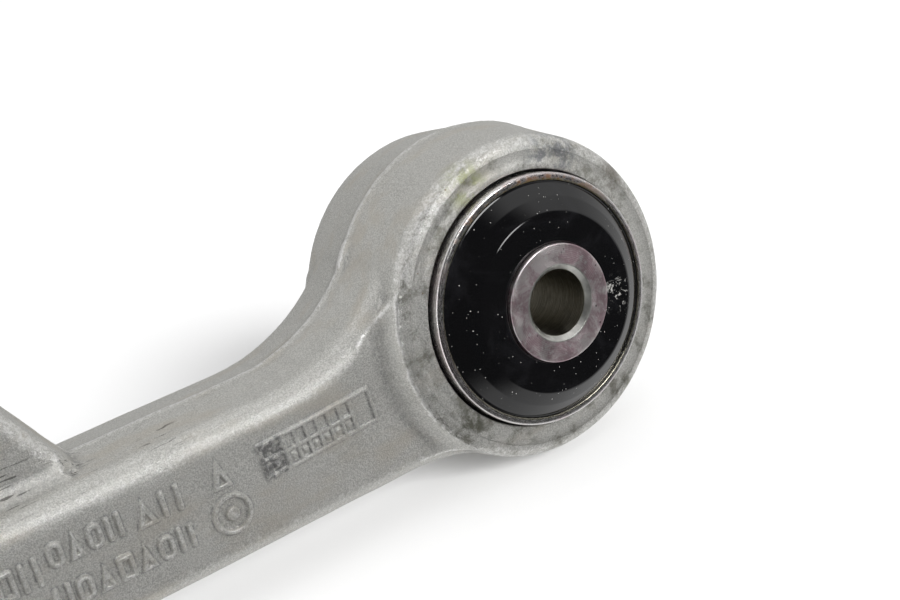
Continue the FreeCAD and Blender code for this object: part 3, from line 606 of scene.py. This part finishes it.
def core_steel(name, centre, bore_radius):
    """Turned inner sleeve: tinted end faces with tool rings and painted glints, a bright chamfer and a
    reamed bore.
    """
    recipe = Recipe(name, Metallic=1.0)
    radius = recipe.radius_about_y(centre)

    def wave(along, pitch):
        return recipe.calculate("SINE", recipe.product(along, 2 * math.pi / pitch))

    ring_wave = wave(radius, face_tool_pitch)
    along_wave = wave(recipe.axis("Y"), bore_tool_pitch)
    in_bore = recipe.between(radius, bore_radius + 0.12 * MM, bore_radius + 0.02 * MM)
    on_face = recipe.between(radius, bore_radius + 0.9 * MM, bore_radius + 1.3 * MM)

    tint = recipe.between(recipe.noise(230, detail=6.0, roughness=0.7, distortion=0.6), 0.40, 0.60)
    base = recipe.blend(tint, (0.88, 0.81, 0.81), (0.58, 0.42, 0.46))
    tooling = recipe.noise(1.0, detail=4.0, roughness=0.7, vector=recipe.around_y(centre, 3400, 9.0))
    base = recipe.blend(recipe.between(tooling, 0.5, 0.68, 0.0, 0.55), base, (0.86, 0.81, 0.81))
    # Painted glints: near-white patches on the end faces
    painted_highlight = recipe.between(recipe.noise(520, detail=5.0, roughness=0.7), 0.56, 0.64)
    base = recipe.blend(recipe.product(painted_highlight, 0.7), base, (0.93, 0.90, 0.90))
    pits = recipe.between(recipe.cells(620), 0.16, 0.08)
    pit_patch = recipe.between(recipe.noise(150, detail=2.0), 0.5, 0.6)
    base = recipe.blend(recipe.product(pits, pit_patch, 0.75), base, (0.10, 0.07, 0.07))
    dull = recipe.between(recipe.noise(500), 0.4, 0.7)
    plain = recipe.blend(dull, (0.58, 0.58, 0.55), (0.78, 0.78, 0.74))
    base = recipe.blend(on_face, plain, base)
    honed = recipe.noise(1.0, detail=3.0, roughness=0.6, vector=recipe.around_y(centre, 4200, 2.0))
    bore = recipe.blend(recipe.between(honed, 0.4, 0.62), (0.36, 0.34, 0.285), (0.50, 0.48, 0.42))
    base = recipe.blend(in_bore, base, bore)

    smear = recipe.between(recipe.noise(300, detail=4.0), 0.4, 0.7, 0.33, 0.5)
    relief = recipe.bump(recipe.product(ring_wave, on_face), 0.006 * MM)
    relief = recipe.bump(recipe.product(along_wave, in_bore), 0.010 * MM, relief)
    relief = recipe.bump(tooling, 0.02 * MM, relief)
    relief = recipe.bump(recipe.noise(900, detail=3.0, roughness=0.6), 0.035 * MM, relief)
    return recipe.set(Base_Color=base, Roughness=smear, Normal=relief)


def bush_rubber(name):
    """Glossy moulded rubber with dust specks and faint smears."""
    recipe = Recipe(name, Metallic=0.0, IOR=1.5)
    smear = recipe.noise(90, detail=5.0, roughness=0.65, distortion=0.8)
    coarse = recipe.specks(650, 0.055, 0.4)
    fine = recipe.specks(1300, 0.085, 0.5)
    patch = recipe.between(recipe.noise(130, detail=3.0), 0.42, 0.54)
    dust = recipe.product(recipe.calculate("MAXIMUM", coarse, fine), patch)
    scuffs = recipe.between(recipe.noise(700, detail=5.0, roughness=0.75, distortion=1.2), 0.56, 0.64)
    scuffs = recipe.product(scuffs, recipe.near(scuff_place, 4.5 * MM), 0.5)
    dust = recipe.calculate("MAXIMUM", dust, scuffs)
    film = recipe.between(smear, 0.5, 0.75, 0.0, 0.5)
    base = recipe.blend(film, (0.0012, 0.0012, 0.0014), (0.006, 0.006, 0.007))
    base = recipe.blend(recipe.product(dust, 0.8), base, (0.45, 0.44, 0.42))
    roughness = recipe.between(smear, 0.40, 0.75, 0.05, 0.17)
    roughness = recipe.calculate("ADD", roughness, recipe.product(dust, 0.5))
    relief = recipe.bump(recipe.noise(300, detail=2.0), 0.012 * MM)
    relief = recipe.bump(dust, 0.04 * MM, relief)
    return recipe.set(Base_Color=base, Roughness=roughness, Normal=relief)


def boot_rubber():
    """Satin moulded rubber with fine grain and a light bloom."""
    recipe = Recipe("boot_rubber", Metallic=0.0, IOR=1.5)
    bloom = recipe.noise(60, detail=5.0, roughness=0.6)
    base = recipe.blend(recipe.between(bloom, 0.4, 0.75), (0.012, 0.012, 0.013), (0.045, 0.044, 0.043))
    roughness = recipe.between(bloom, 0.3, 0.7, 0.32, 0.5)
    relief = recipe.bump(recipe.noise(1600, detail=2.0), 0.02 * MM)
    return recipe.set(Base_Color=base, Roughness=roughness, Normal=relief)


def plated_steel(name, dark, light, low_rough, high_rough):
    """Steel with a fine grained finish between two tones."""
    recipe = Recipe(name, Metallic=1.0)
    cloud = recipe.noise(130, detail=4.0, roughness=0.6)
    grain = recipe.noise(1500, detail=2.0)
    base = recipe.blend(recipe.between(cloud, 0.35, 0.68), dark, light)
    roughness = recipe.between(recipe.calculate("ADD", cloud, grain), 0.7, 1.3, low_rough, high_rough)
    relief = recipe.bump(grain, 0.012 * MM)
    return recipe.set(Base_Color=base, Roughness=roughness, Normal=relief)


def moulded_polymer(name, dark, light):
    """Moulded polymer with slight mottling."""
    recipe = Recipe(name, Metallic=0.0)
    cloud = recipe.noise(180, detail=4.0)
    base = recipe.blend(recipe.between(cloud, 0.35, 0.7), dark, light)
    roughness = recipe.between(cloud, 0.3, 0.7, 0.35, 0.5)
    relief = recipe.bump(recipe.noise(1200, detail=2.0), 0.01 * MM)
    return recipe.set(Base_Color=base, Roughness=roughness, Normal=relief)


# ======== Forging ========

def neighbour_mean(values, edges, counts):
    """Mean of each vertex's neighbours, for an array with one row per vertex."""
    total = np.zeros_like(values)
    for column in range(values.shape[1]):
        total[:, column] += np.bincount(edges[:, 0], values[edges[:, 1], column], len(values))
        total[:, column] += np.bincount(edges[:, 1], values[edges[:, 0], column], len(values))
    return total / counts[:, None]


def read_vectors(mesh, field):
    values = np.empty(len(mesh.vertices) * 3)
    mesh.vertices.foreach_get(field, values)
    return values.reshape(-1, 3)


def smooth_step(value, low, high):
    share = np.clip((value - low) / (high - low), 0, 1)
    return share * share * (3 - 2 * share)


def store(mesh, name, values):
    layer = mesh.attributes.get(name) or mesh.attributes.new(name, "FLOAT", "POINT")
    layer.data.foreach_set("value", values.astype(np.float32))


def stored(mesh, name):
    values = np.empty(len(mesh.vertices), np.float32)
    mesh.attributes[name].data.foreach_get("value", values)
    return values


def mark_worn_edges(mesh):
    """Stores how far each vertex stands above its blurred surroundings, as edge wear, and how far below
    them, as painted shade and dirt in hollows.
    """
    places = read_vectors(mesh, "co")
    normals = read_vectors(mesh, "normal")
    edges = np.empty(len(mesh.edges) * 2, int)
    mesh.edges.foreach_get("vertices", edges)
    edges = edges.reshape(-1, 2)
    counts = np.bincount(edges.ravel(), minlength=len(places)).astype(float)
    blurred = places.copy()
    for _ in range(edge_blur_rounds):
        blurred = neighbour_mean(blurred, edges, counts)
    stand = ((places - blurred) * normals).sum(axis=1) / edge_blur_stand
    store(mesh, "edge_wear", np.clip(stand, 0, 1))
    # Painted shade and dirt: darker where the skin lies below its blurred surroundings
    store(mesh, "painted_shade_and_dirt", np.clip(-stand, 0, 1) * 0.5)


def box_distance(x, z, middle_x, middle_z, half_x, half_z, corner):
    """Distance to a rounded rectangle, negative inside it."""
    over_x = np.abs(x - middle_x) - (half_x - corner)
    over_z = np.abs(z - middle_z) - (half_z - corner)
    outside = np.hypot(np.maximum(over_x, 0), np.maximum(over_z, 0))
    return outside + np.minimum(np.maximum(over_x, over_z), 0) - corner


def triangle_distance(x, z, left, low, width, height):
    """Distance to an upright triangle, negative inside it."""
    half = width / 2
    across = np.abs(x - left - half)
    flank = (across * height + (z - low) * half - half * height) / math.hypot(half, height)
    return np.maximum(flank, low - z)


def mark_distances(x, z):
    """Distance to the strokes of each plain figure, negative inside a stroke."""
    half = mark_stroke / 2
    for start, low, width, height, gap, kinds in mark_rows:
        left = start
        for kind in kinds:
            middle_x = left + width / 2
            middle_z = low + height / 2
            if kind == "triangle":
                yield np.abs(triangle_distance(x, z, left, low, width, height) + half) - half
            elif kind == "bars":
                for bar_x in (left + half, left + width - half):
                    yield box_distance(x, z, bar_x, middle_z, half, height / 2, half * 0.8)
            else:
                corner = width * 0.48 if kind == "ring" else half
                shape = box_distance(x, z, middle_x, middle_z, width / 2, height / 2, corner)
                yield np.abs(shape + half) - half
            left += width + gap
    spread = np.hypot(x - emblem_x, z - emblem_z)
    yield np.abs(spread - emblem_radius) - half
    yield spread - emblem_dot


def grid_pockets():
    """Middle and half sizes of each pocket, from the grid's own middle, and whether it has a nub."""
    half_length = grid_length / 2
    inner = grid_width / 2 - grid_rim
    row_half = (inner - grid_rim / 2) / 2
    row_middle = grid_rim / 2 + row_half
    block_half = (grid_end_block - grid_rim) / 2
    start = -half_length + grid_rim + grid_end_block
    pitch = (grid_length - grid_end_block - grid_end_box - 2 * grid_rim) / grid_columns
    for row in (-1, 1):
        middle = row * row_middle
        yield -half_length + grid_rim + block_half, middle, block_half, row_half, row < 0
        for column in range(grid_columns):
            yield start + pitch * (column + 0.5), middle, (pitch - grid_rim) / 2, row_half, row < 0
    box_half = (grid_end_box - grid_rim) / 2
    yield half_length - grid_rim - box_half, 0.0, box_half, inner, False


def outline_shade(distance, middle, width):
    """Painted shade and dirt gathered along an outline, thickest at one distance from it."""
    return np.exp(-((distance - middle) / width) ** 2)


def mark_relief(x, z):
    """Height of the marks above the beam's face and the painted shade and dirt in their corners, at points
    in millimetres.
    """
    relief = np.zeros_like(x)
    painted_shade_and_dirt = np.zeros_like(x)
    for distance in mark_distances(x, z):
        stroke = 1 - smooth_step(distance, -mark_softness, mark_softness)
        relief = np.maximum(relief, mark_height * stroke)
        # Painted shade at the foot of each stroke
        painted_shade_and_dirt = np.maximum(painted_shade_and_dirt, mark_foot_shade * outline_shade(distance, 0.2, 0.16))
    turn = math.radians(grid_tilt)
    along = (x - grid_x) * math.cos(turn) + (z - grid_z) * math.sin(turn)
    across = (z - grid_z) * math.cos(turn) - (x - grid_x) * math.sin(turn)
    edge = box_distance(along, across, 0, 0, grid_length / 2, grid_width / 2, grid_corner)
    plate = grid_plate_height * (1 - smooth_step(edge, -0.12, 0.28))
    # Painted shade along the grid's outline
    painted_shade_and_dirt = np.maximum(painted_shade_and_dirt, grid_outline_shade * outline_shade(edge, 0.2, 0.2))
    for middle_x, middle_z, half_x, half_z, with_nub in grid_pockets():
        edge = box_distance(along, across, middle_x, middle_z, half_x, half_z, grid_pocket_corner)
        plate -= grid_pocket_depth * (1 - smooth_step(edge, -0.2, 0.06))
        # Painted shade inside each pocket, along its wall
        painted_shade_and_dirt = np.maximum(painted_shade_and_dirt, grid_pocket_shade * outline_shade(edge, -0.12, 0.14))
        if with_nub:
            spread = np.hypot(along - middle_x, across - middle_z)
            past_nub = smooth_step(spread - grid_nub_radius, -grid_nub_softness, grid_nub_softness)
            plate += grid_nub_height * (1 - past_nub)
    half_block = grid_end_block / 2
    block_middle = half_block - grid_length / 2
    block = box_distance(along, across, block_middle, 0, half_block, grid_width / 2, grid_block_corner)
    painted_shade_and_dirt = np.maximum(painted_shade_and_dirt, grid_block_soil * (1 - smooth_step(block, -0.3, 0.8)))
    return np.maximum(relief, plate), painted_shade_and_dirt


def in_mark_area(places):
    (low_x, low_z), (high_x, high_z) = mark_area
    x = places[:, 0] / MM
    z = places[:, 2] / MM
    on_side = places[:, 1] < beam_face_y + beam_face_slack
    return (x > low_x) & (x < high_x) & (z > low_z) & (z < high_z) & on_side


def raise_marks(mesh):
    """Divides the skin finely on the beam's side face and raises the marks there."""
    inside = in_mark_area(read_vectors(mesh, "co"))
    shape = bmesh.new()
    shape.from_mesh(mesh)
    edges = [edge for edge in shape.edges if inside[edge.verts[0].index] and inside[edge.verts[1].index]]
    bmesh.ops.subdivide_edges(shape, edges=edges, cuts=mark_cuts, use_grid_fill=True)
    shape.to_mesh(mesh)
    shape.free()
    places = read_vectors(mesh, "co")
    inside = in_mark_area(places)
    relief, painted_shade_and_dirt = mark_relief(places[:, 0] / MM, places[:, 2] / MM)
    places[inside, 1] -= relief[inside] * MM
    mesh.vertices.foreach_set("co", places.ravel())
    worn = stored(mesh, "edge_wear")
    old_shade_and_dirt = stored(mesh, "painted_shade_and_dirt")
    top = smooth_step(relief, 0.6 * mark_height, mark_height) * mark_top_wear
    store(mesh, "edge_wear", np.where(inside, np.maximum(worn, top), worn))
    # Painted shade at the foot of the marks and dirt on the grid's end block
    store(mesh, "painted_shade_and_dirt", np.where(inside, np.maximum(old_shade_and_dirt, painted_shade_and_dirt), old_shade_and_dirt))
    mesh.update()


def roughen(mesh):
    """Slight hammered wobble, a ridge along the parting plane, and halves that don't quite line up."""
    places = read_vectors(mesh, "co")
    normals = read_vectors(mesh, "normal")
    rocks = np.array([noise.noise(Vector(place) / wobble_size) for place in places])
    shift = Vector((9, 4, 7))
    waves = np.array([noise.noise(Vector(place) / parting_wave_size + shift) for place in places])
    radius = np.hypot(places[:, 0], places[:, 2])
    free = smooth_step(radius, *wobble_fade)
    along_wall = 1 - smooth_step(np.abs(normals[:, 1]), 0.3, 0.6)
    outside = smooth_step(radius, *parting_fade) * along_wall
    ridge = np.exp(-(places[:, 1] / parting_ridge_width) ** 2) * (1 + 0.5 * waves)
    halves = smooth_step(-places[:, 1], -parting_mismatch_half_width, parting_mismatch_half_width) - 1
    move = rocks * wobble_depth * free + outside * (ridge * parting_ridge_stand + halves * parting_mismatch)
    mesh.vertices.foreach_set("co", (places + normals * move[:, None]).ravel())
    mesh.update()


def make_forging(material):
    """The forging as one even skin with soft edges, and the marks raised out of it."""
    mesh = cad_mesh("arm_forging")
    places = read_vectors(mesh, "co")
    marks = in_mark_area(places)
    places[marks, 1] = np.maximum(places[marks, 1], beam_face_y)
    mesh.vertices.foreach_set("co", places.ravel())
    block = new_object("forging_block", mesh)
    even = block.modifiers.new("even_skin", "REMESH")
    even.mode = "VOXEL"
    even.voxel_size = skin_voxel
    soft = block.modifiers.new("soft_edges", "SMOOTH")
    soft.factor = 0.5
    soft.iterations = skin_smoothing_rounds
    skin = applied(block)
    skin.name = "forging_skin"
    roughen(skin)
    mark_worn_edges(skin)
    raise_marks(skin)
    skin.shade_smooth()
    return add_piece("forging_skin", skin, "arm", material, ["arm_forging"])


def make_eye_face(name, centre, bore, half_width, material):
    """Machined mouth of an eye's bore: a deep chamfer and the inner edge of the face, on both sides."""
    mouth = bore + mouth_chamfer
    root = bore - eye_face_gap
    face = half_width + eye_face_gap
    for side, label in ((-1, "front"), (1, "back")):
        outline = rounded([
            (root, side * (half_width - mouth_depth), 0),
            (root + 0.12 * MM, side * (half_width - 2.1 * MM), 0.2 * MM),
            (mouth, side * face, 0.18 * MM),
            (mouth + mouth_face_reach, side * (half_width - 0.02 * MM), 0),
            (mouth, side * (half_width - mouth_depth), 0),
        ])
        ring = lathe_mesh(name + "_" + label, outline, centre, Y_AXIS)
        add_piece(name + "_" + label, ring, "arm", material)


# ======== Bushes ========

def node_extent(node):
    """Centre, outer radius and half length of a round CAD node whose axis runs along Y."""
    low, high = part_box(node)
    centre = (low + high) / 2
    return centre, (high.x - low.x) / 2, (high.y - low.y) / 2


def make_bush(prefix, ridge_share, materials):
    """Outer sleeve, bonded rubber and inner sleeve of one bush."""
    shell_material, rubber_material, core_material = materials
    centre, shell_outer, shell_half = node_extent(prefix + "_outer_sleeve")
    _, shell_inner, rubber_half = node_extent(prefix + "_rubber")
    _, core_outer, core_half = node_extent(prefix + "_inner_sleeve")

    rolled = [
        (shell_inner, -shell_half, sleeve_inner_lip), (shell_outer, -shell_half, sleeve_outer_lip),
        (shell_outer, shell_half, sleeve_outer_lip), (shell_inner, shell_half, sleeve_inner_lip),
    ]
    shell = lathe_mesh(prefix + "_shell", rounded(rolled, steps=10), centre, Y_AXIS)
    even_normals(add_piece(
        prefix + "_shell", shell, "arm", shell_material, [prefix + "_outer_sleeve"]))

    ridge = core_outer + (shell_inner - core_outer) * ridge_share
    foot = rubber_half - 0.3 * MM
    edge = shell_half - 0.2 * MM
    half = [
        (core_outer + 0.05 * MM, foot - 0.1 * MM, 0),
        (core_outer + 0.4 * MM, foot, 0.3 * MM),
        (ridge, rubber_half, 1.1 * MM),
        ((ridge + shell_inner) / 2, (rubber_half + edge) / 2 + 0.12 * MM, 3.0 * MM),
        (shell_inner - 0.4 * MM, edge + 0.12 * MM, 0.3 * MM),
        (shell_inner + 0.3 * MM, edge - 0.1 * MM, 0),
    ]
    front = [(radius, -along, rounding) for radius, along, rounding in half]
    rubber = lathe_mesh(prefix + "_rubber_ring", rounded(front + half[::-1], steps=6), centre, Y_AXIS)
    add_piece(prefix + "_rubber_ring", rubber, "arm", rubber_material, [prefix + "_rubber"])

    chamfered = bolt_bore + core_chamfer
    turned = [
        (bolt_bore, -core_half + core_chamfer, core_edge), (chamfered, -core_half, core_edge),
        (core_outer, -core_half, 2 * core_edge), (core_outer, core_half, 2 * core_edge),
        (chamfered, core_half, core_edge), (bolt_bore, core_half - core_chamfer, core_edge),
    ]
    body = prefix + "_core"
    core = lathe_mesh(body, rounded(turned), centre, Y_AXIS)
    even_normals(add_piece(
        body + "_sleeve", core, body, core_material, [prefix + "_inner_sleeve"]))


# ======== Ball joint ========

def above_ball(height):
    """The point on the stud's axis at a height above the centre of the ball."""
    return ball_centre + Vector((0, 0, height))


def in_metres(points):
    """An outline of (radius, height, rounding) in millimetres, turned into metres."""
    return [tuple(value * MM for value in point) for point in points]


def make_stud(material):
    """Ball, neck, collar, ground taper and relief, with a hexagon socket in the end."""
    outline = [(0.0, -ball_radius)]
    sweep = math.acos(neck_radius / ball_radius) + math.pi / 2
    for step in range(1, ball_steps + 1):
        angle = -math.pi / 2 + sweep * step / ball_steps
        outline.append((ball_radius * math.cos(angle), ball_radius * math.sin(angle)))
    upper = [
        (6.8, 12.0, 0), (6.8, 18.5, 2.0), (9.1, 21.0, 1.0), (9.1, 29.5, 0.2), (8.8, 29.7, 0.2),
        (7.52, 50.0, 0.5), (5.2, 50.9, 0.5), (5.2, 68.5, 0.2), (4.3, 69.4, 0.1), (0, 69.4, 0),
    ]
    outline += rounded(in_metres(upper), closed=False, steps=6)
    stud = new_object("stud_blank", lathe_mesh(
        "stud_blank", outline, ball_centre, Z_AXIS, closed=False, turn_steps=128))
    socket = bmesh.new()
    bmesh.ops.create_cone(
        socket, cap_ends=True, segments=6, radius1=socket_radius, radius2=socket_radius,
        depth=socket_depth, matrix=Matrix.Translation(above_ball(socket_middle)))
    socket_mesh = bpy.data.meshes.new("stud_socket")
    socket.to_mesh(socket_mesh)
    socket.free()
    cutter = new_object("stud_socket", socket_mesh)
    cut = stud.modifiers.new("socket", "BOOLEAN")
    cut.operation = "DIFFERENCE"
    cut.object = cutter
    mesh = applied(stud)
    bpy.data.objects.remove(cutter)
    mesh.name = "stud_body"
    mesh.set_sharp_from_angle(angle=math.radians(35))
    return add_piece("stud_body", mesh, "stud", material, ["ball_stud"])


def make_stud_thread(material):
    """Helical thread as one continuous surface that fades out at both ends."""
    turn_steps = 120
    row_step = thread_pitch / thread_rows_per_turn
    rows = round((thread_high - thread_low) / row_step)
    shape = bmesh.new()
    rings = []
    for row in range(rows + 1):
        height = thread_low + row * row_step
        fade = min(1.0, row / thread_fade_rows, (rows - row) / thread_fade_rows)
        ring = []
        for step in range(turn_steps):
            turn = step / turn_steps
            phase = (height / thread_pitch - turn) % 1.0
            flank = min(1.0, max(0.0, 1.25 - abs(phase - 0.5) * 2 * 1.45))
            radius = thread_minor + (thread_major - thread_minor) * flank * fade
            angle = 2 * math.pi * turn
            offset = Vector((math.cos(angle), math.sin(angle), 0)) * radius
            ring.append(shape.verts.new(above_ball(height) + offset))
        rings.append(ring)
    join_rings(shape, rings)
    return add_piece("stud_thread", finished(shape, "stud_thread"), "stud", material)


def make_boot(material):
    """Rubber boot between the housing and the stud's slide ring."""
    half = [
        (17.45, 9.3, 0), (18.45, 9.1, 0.2), (19.9, 8.85, 0.5), (19.95, 10.5, 0.5), (19.9, 12.1, 0.6),
        (20.9, 13.2, 1.2), (22.35, 16.6, 4.0), (21.2, 19.6, 2.5), (17.0, 21.9, 3.0), (14.6, 22.9, 1.2),
        (13.55, 23.8, 0.8), (13.55, 28.5, 0.5), (11.7, 28.5, 0.4), (11.7, 23.6, 0.5), (13.6, 21.8, 1.5),
        (16.2, 20.5, 2.5), (19.6, 18.3, 2.5), (20.8, 16.5, 3.0), (19.9, 14.3, 1.0), (18.6, 12.6, 0.5),
        (18.45, 11.7, 0.2), (17.45, 11.5, 0),
    ]
    mesh = lathe_mesh("boot_skin", rounded(in_metres(half), steps=5), ball_centre, Z_AXIS)
    piece = add_piece("boot_skin", mesh, None, material, ["dust_boot"])
    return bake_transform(piece)


def make_clamp(name, node, body, material):
    """Wound wire clamp of two turns whose ends lie side by side."""
    low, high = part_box(node)
    centre = (low + high) / 2
    wire = (high.z - low.z) / 4
    radius = (high.x - low.x) / 2 - wire
    coil_steps = 220
    tube_steps = 14
    climb = (high.z - low.z) - 2 * wire
    shape = bmesh.new()
    rings = []
    for step in range(coil_steps + 1):
        share = step / coil_steps
        angle = 2 * math.pi * clamp_turns * share + clamp_start_angle
        outward = Vector((math.cos(angle), math.sin(angle), 0))
        spot = centre + outward * radius + Vector((0, 0, (share - 0.5) * climb))
        ring = []
        for tube_step in range(tube_steps):
            roll = 2 * math.pi * tube_step / tube_steps
            offset = outward * math.cos(roll) + Vector((0, 0, math.sin(roll)))
            ring.append(shape.verts.new(spot + offset * wire * clamp_wire_share))
        rings.append(ring)
    join_rings(shape, rings)
    shape.faces.new(rings[0])
    shape.faces.new(rings[-1][::-1])
    bmesh.ops.recalc_face_normals(shape, faces=shape.faces)
    return add_piece(name, finished(shape, name), body, material, [node])


def dress_cad(node, material):
    """Gives a CAD node that keeps its shape a material of its own."""
    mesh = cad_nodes[node].data
    mesh.materials.clear()
    mesh.materials.append(material)


# ======== Stage ========

def make_floor():
    """Plain pale ground at the lowest point of the part."""
    low_z = cad_box[0][2]
    bpy.ops.mesh.primitive_plane_add(size=floor_size, location=(0, 0, low_z - floor_gap))
    floor = bpy.context.object
    floor.name = "floor"
    floor.visible_glossy = False
    material = bpy.data.materials.new("pale_floor")
    material.use_nodes = True
    shader = material.node_tree.nodes["Principled BSDF"]
    shader.inputs["Base Color"].default_value = floor_tone
    shader.inputs["Roughness"].default_value = 1.0
    shader.inputs["Specular IOR Level"].default_value = 0.0
    floor.data.materials.append(material)
    floor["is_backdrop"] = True


def add_key_light():
    """Soft distant light from the front. Mirror-like surfaces don't see it."""
    lamp = bpy.data.lights.new("key_light", "SUN")
    lamp.angle = math.radians(key_spread)
    lamp.energy = key_strength
    light = new_object("key_light", lamp)
    direction = Vector(key_direction).normalized()
    light.rotation_euler = direction.to_track_quat("Z", "Y").to_euler()
    light.visible_glossy = False


def make_world():
    """White room for reflections: bright ceiling and left side, dim back, dark front and one small lamp.

    Rough surfaces see a soft sky instead, and the camera sees plain white.
    """
    world = bpy.data.worlds.new("room")
    world.use_nodes = True
    bpy.context.scene.world = world
    tree = world.node_tree
    nodes = tree.nodes
    background = nodes["Background"]
    place = nodes.new("ShaderNodeTexCoord").outputs["Generated"]

    def toward(direction, start, full):
        """1 for rays close to a direction, 0 for rays far from it."""
        dot = nodes.new("ShaderNodeVectorMath")
        dot.operation = "DOT_PRODUCT"
        dot.inputs[1].default_value = Vector(direction).normalized()
        tree.links.new(place, dot.inputs[0])
        step = nodes.new("ShaderNodeMapRange")
        step.interpolation_type = "SMOOTHSTEP"
        step.inputs["From Min"].default_value = start
        step.inputs["From Max"].default_value = full
        tree.links.new(dot.outputs["Value"], step.inputs["Value"])
        return step.outputs["Result"]

    def mix(share, first, second):
        node = nodes.new("ShaderNodeMix")
        node.data_type = "FLOAT"
        for name, value in (("Factor", share), ("A", first), ("B", second)):
            if isinstance(value, bpy.types.NodeSocket):
                tree.links.new(value, node.inputs[name])
            else:
                node.inputs[name].default_value = value
        return node.outputs["Result"]

    path = nodes.new("ShaderNodeLightPath")
    walls = mix(toward(Z_AXIS, 0.30, 0.80), wall_light, ceiling_light)
    walls = mix(toward((0, 0, -1), 0.45, 0.85), walls, ground_light)
    walls = mix(toward(Y_AXIS, 0.15, 0.75), walls, back_light)
    walls = mix(toward(side_direction, 0.80, 0.90), walls, side_light)
    walls = mix(toward(front_direction, 0.32, 0.58), walls, front_light)
    walls = mix(toward(lamp_direction, 0.979, 0.986), walls, lamp_light)
    soft = mix(toward(Z_AXIS, 0.1, 0.9), horizon_light, zenith_light)
    seen = mix(path.outputs["Is Diffuse Ray"], walls, soft)
    seen = mix(path.outputs["Is Camera Ray"], seen, seen_background)
    tree.links.new(seen, background.inputs["Strength"])
    background.inputs["Color"].default_value = (1, 1, 1, 1)


def make_camera():
    lens = bpy.data.cameras.new("camera")
    lens.lens = camera_lens
    lens.sensor_width = camera_sensor
    lens.clip_start = 0.01
    camera = new_object("camera", lens)
    turn = Matrix.Rotation(math.radians(camera_azimuth), 4, "Z")
    tip = Matrix.Rotation(math.radians(90 + camera_elevation), 4, "X")
    roll = Matrix.Rotation(math.radians(camera_roll), 4, "Z")
    camera.matrix_world = Matrix.Translation(camera_place) @ turn @ tip @ roll
    bpy.context.scene.camera = camera


# ======== Everything together ========

make_camera()
make_floor()
make_world()
add_key_light()

aluminium = forged_aluminium()
pivot_materials = (
    sleeve_steel("pivot_shell_steel", (0, 0, 0), node_extent("pivot_rubber")[1]),
    bush_rubber("pivot_rubber"),
    core_steel("pivot_core_steel", (0, 0, 0), bolt_bore),
)
damper_centre = node_extent("damper_rubber")[0]
damper_materials = (
    sleeve_steel("damper_shell_steel", damper_centre, node_extent("damper_rubber")[1]),
    bush_rubber("damper_rubber"),
    core_steel("damper_core_steel", damper_centre, bolt_bore),
)
dark_steel = plated_steel("phosphated_steel", (0.10, 0.10, 0.105), (0.22, 0.22, 0.225), 0.34, 0.5)
bright_steel = plated_steel("zinc_steel", (0.52, 0.51, 0.47), (0.72, 0.71, 0.66), 0.2, 0.34)
cover_steel = plated_steel("cover_steel", (0.34, 0.34, 0.34), (0.5, 0.5, 0.5), 0.3, 0.42)

make_forging(aluminium)
make_eye_face("pivot_eye_face", Vector((0, 0, 0)), pivot_eye_bore, pivot_eye_half_width, aluminium)
make_eye_face("damper_eye_face", damper_centre, damper_eye_bore, damper_eye_half_width, aluminium)
make_bush("pivot", pivot_ridge_share, pivot_materials)
make_bush("damper", damper_ridge_share, damper_materials)
make_stud(dark_steel)
make_stud_thread(dark_steel)
make_boot(boot_rubber())
make_clamp("lower_clamp_wire", "boot_lower_clamp", "arm", bright_steel)
make_clamp("upper_clamp_wire", "boot_upper_clamp", "boot_head", bright_steel)
for node in ("link_sleeve", "stud_nut", "nut_washer"):
    dress_cad(node, bright_steel)
for node in ("cover_plate", "preload_washer"):
    dress_cad(node, cover_steel)
dress_cad("seat_upper", moulded_polymer("seat_polymer", (0.72, 0.70, 0.62), (0.85, 0.84, 0.78)))
dress_cad("seat_lower", moulded_polymer("seat_polymer_lower", (0.72, 0.70, 0.62), (0.85, 0.84, 0.78)))
dress_cad("slide_ring", moulded_polymer("slide_polymer", (0.03, 0.03, 0.032), (0.07, 0.07, 0.072)))
dress_cad("nut_locking_ring", moulded_polymer("locking_nylon", (0.12, 0.22, 0.50), (0.20, 0.32, 0.62)))

bpy.context.scene.view_settings.view_transform = "Standard"

boxes = {"cad": cad_box, "visual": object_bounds()}
{name: [list(corner) for corner in box] for name, box in boxes.items()}
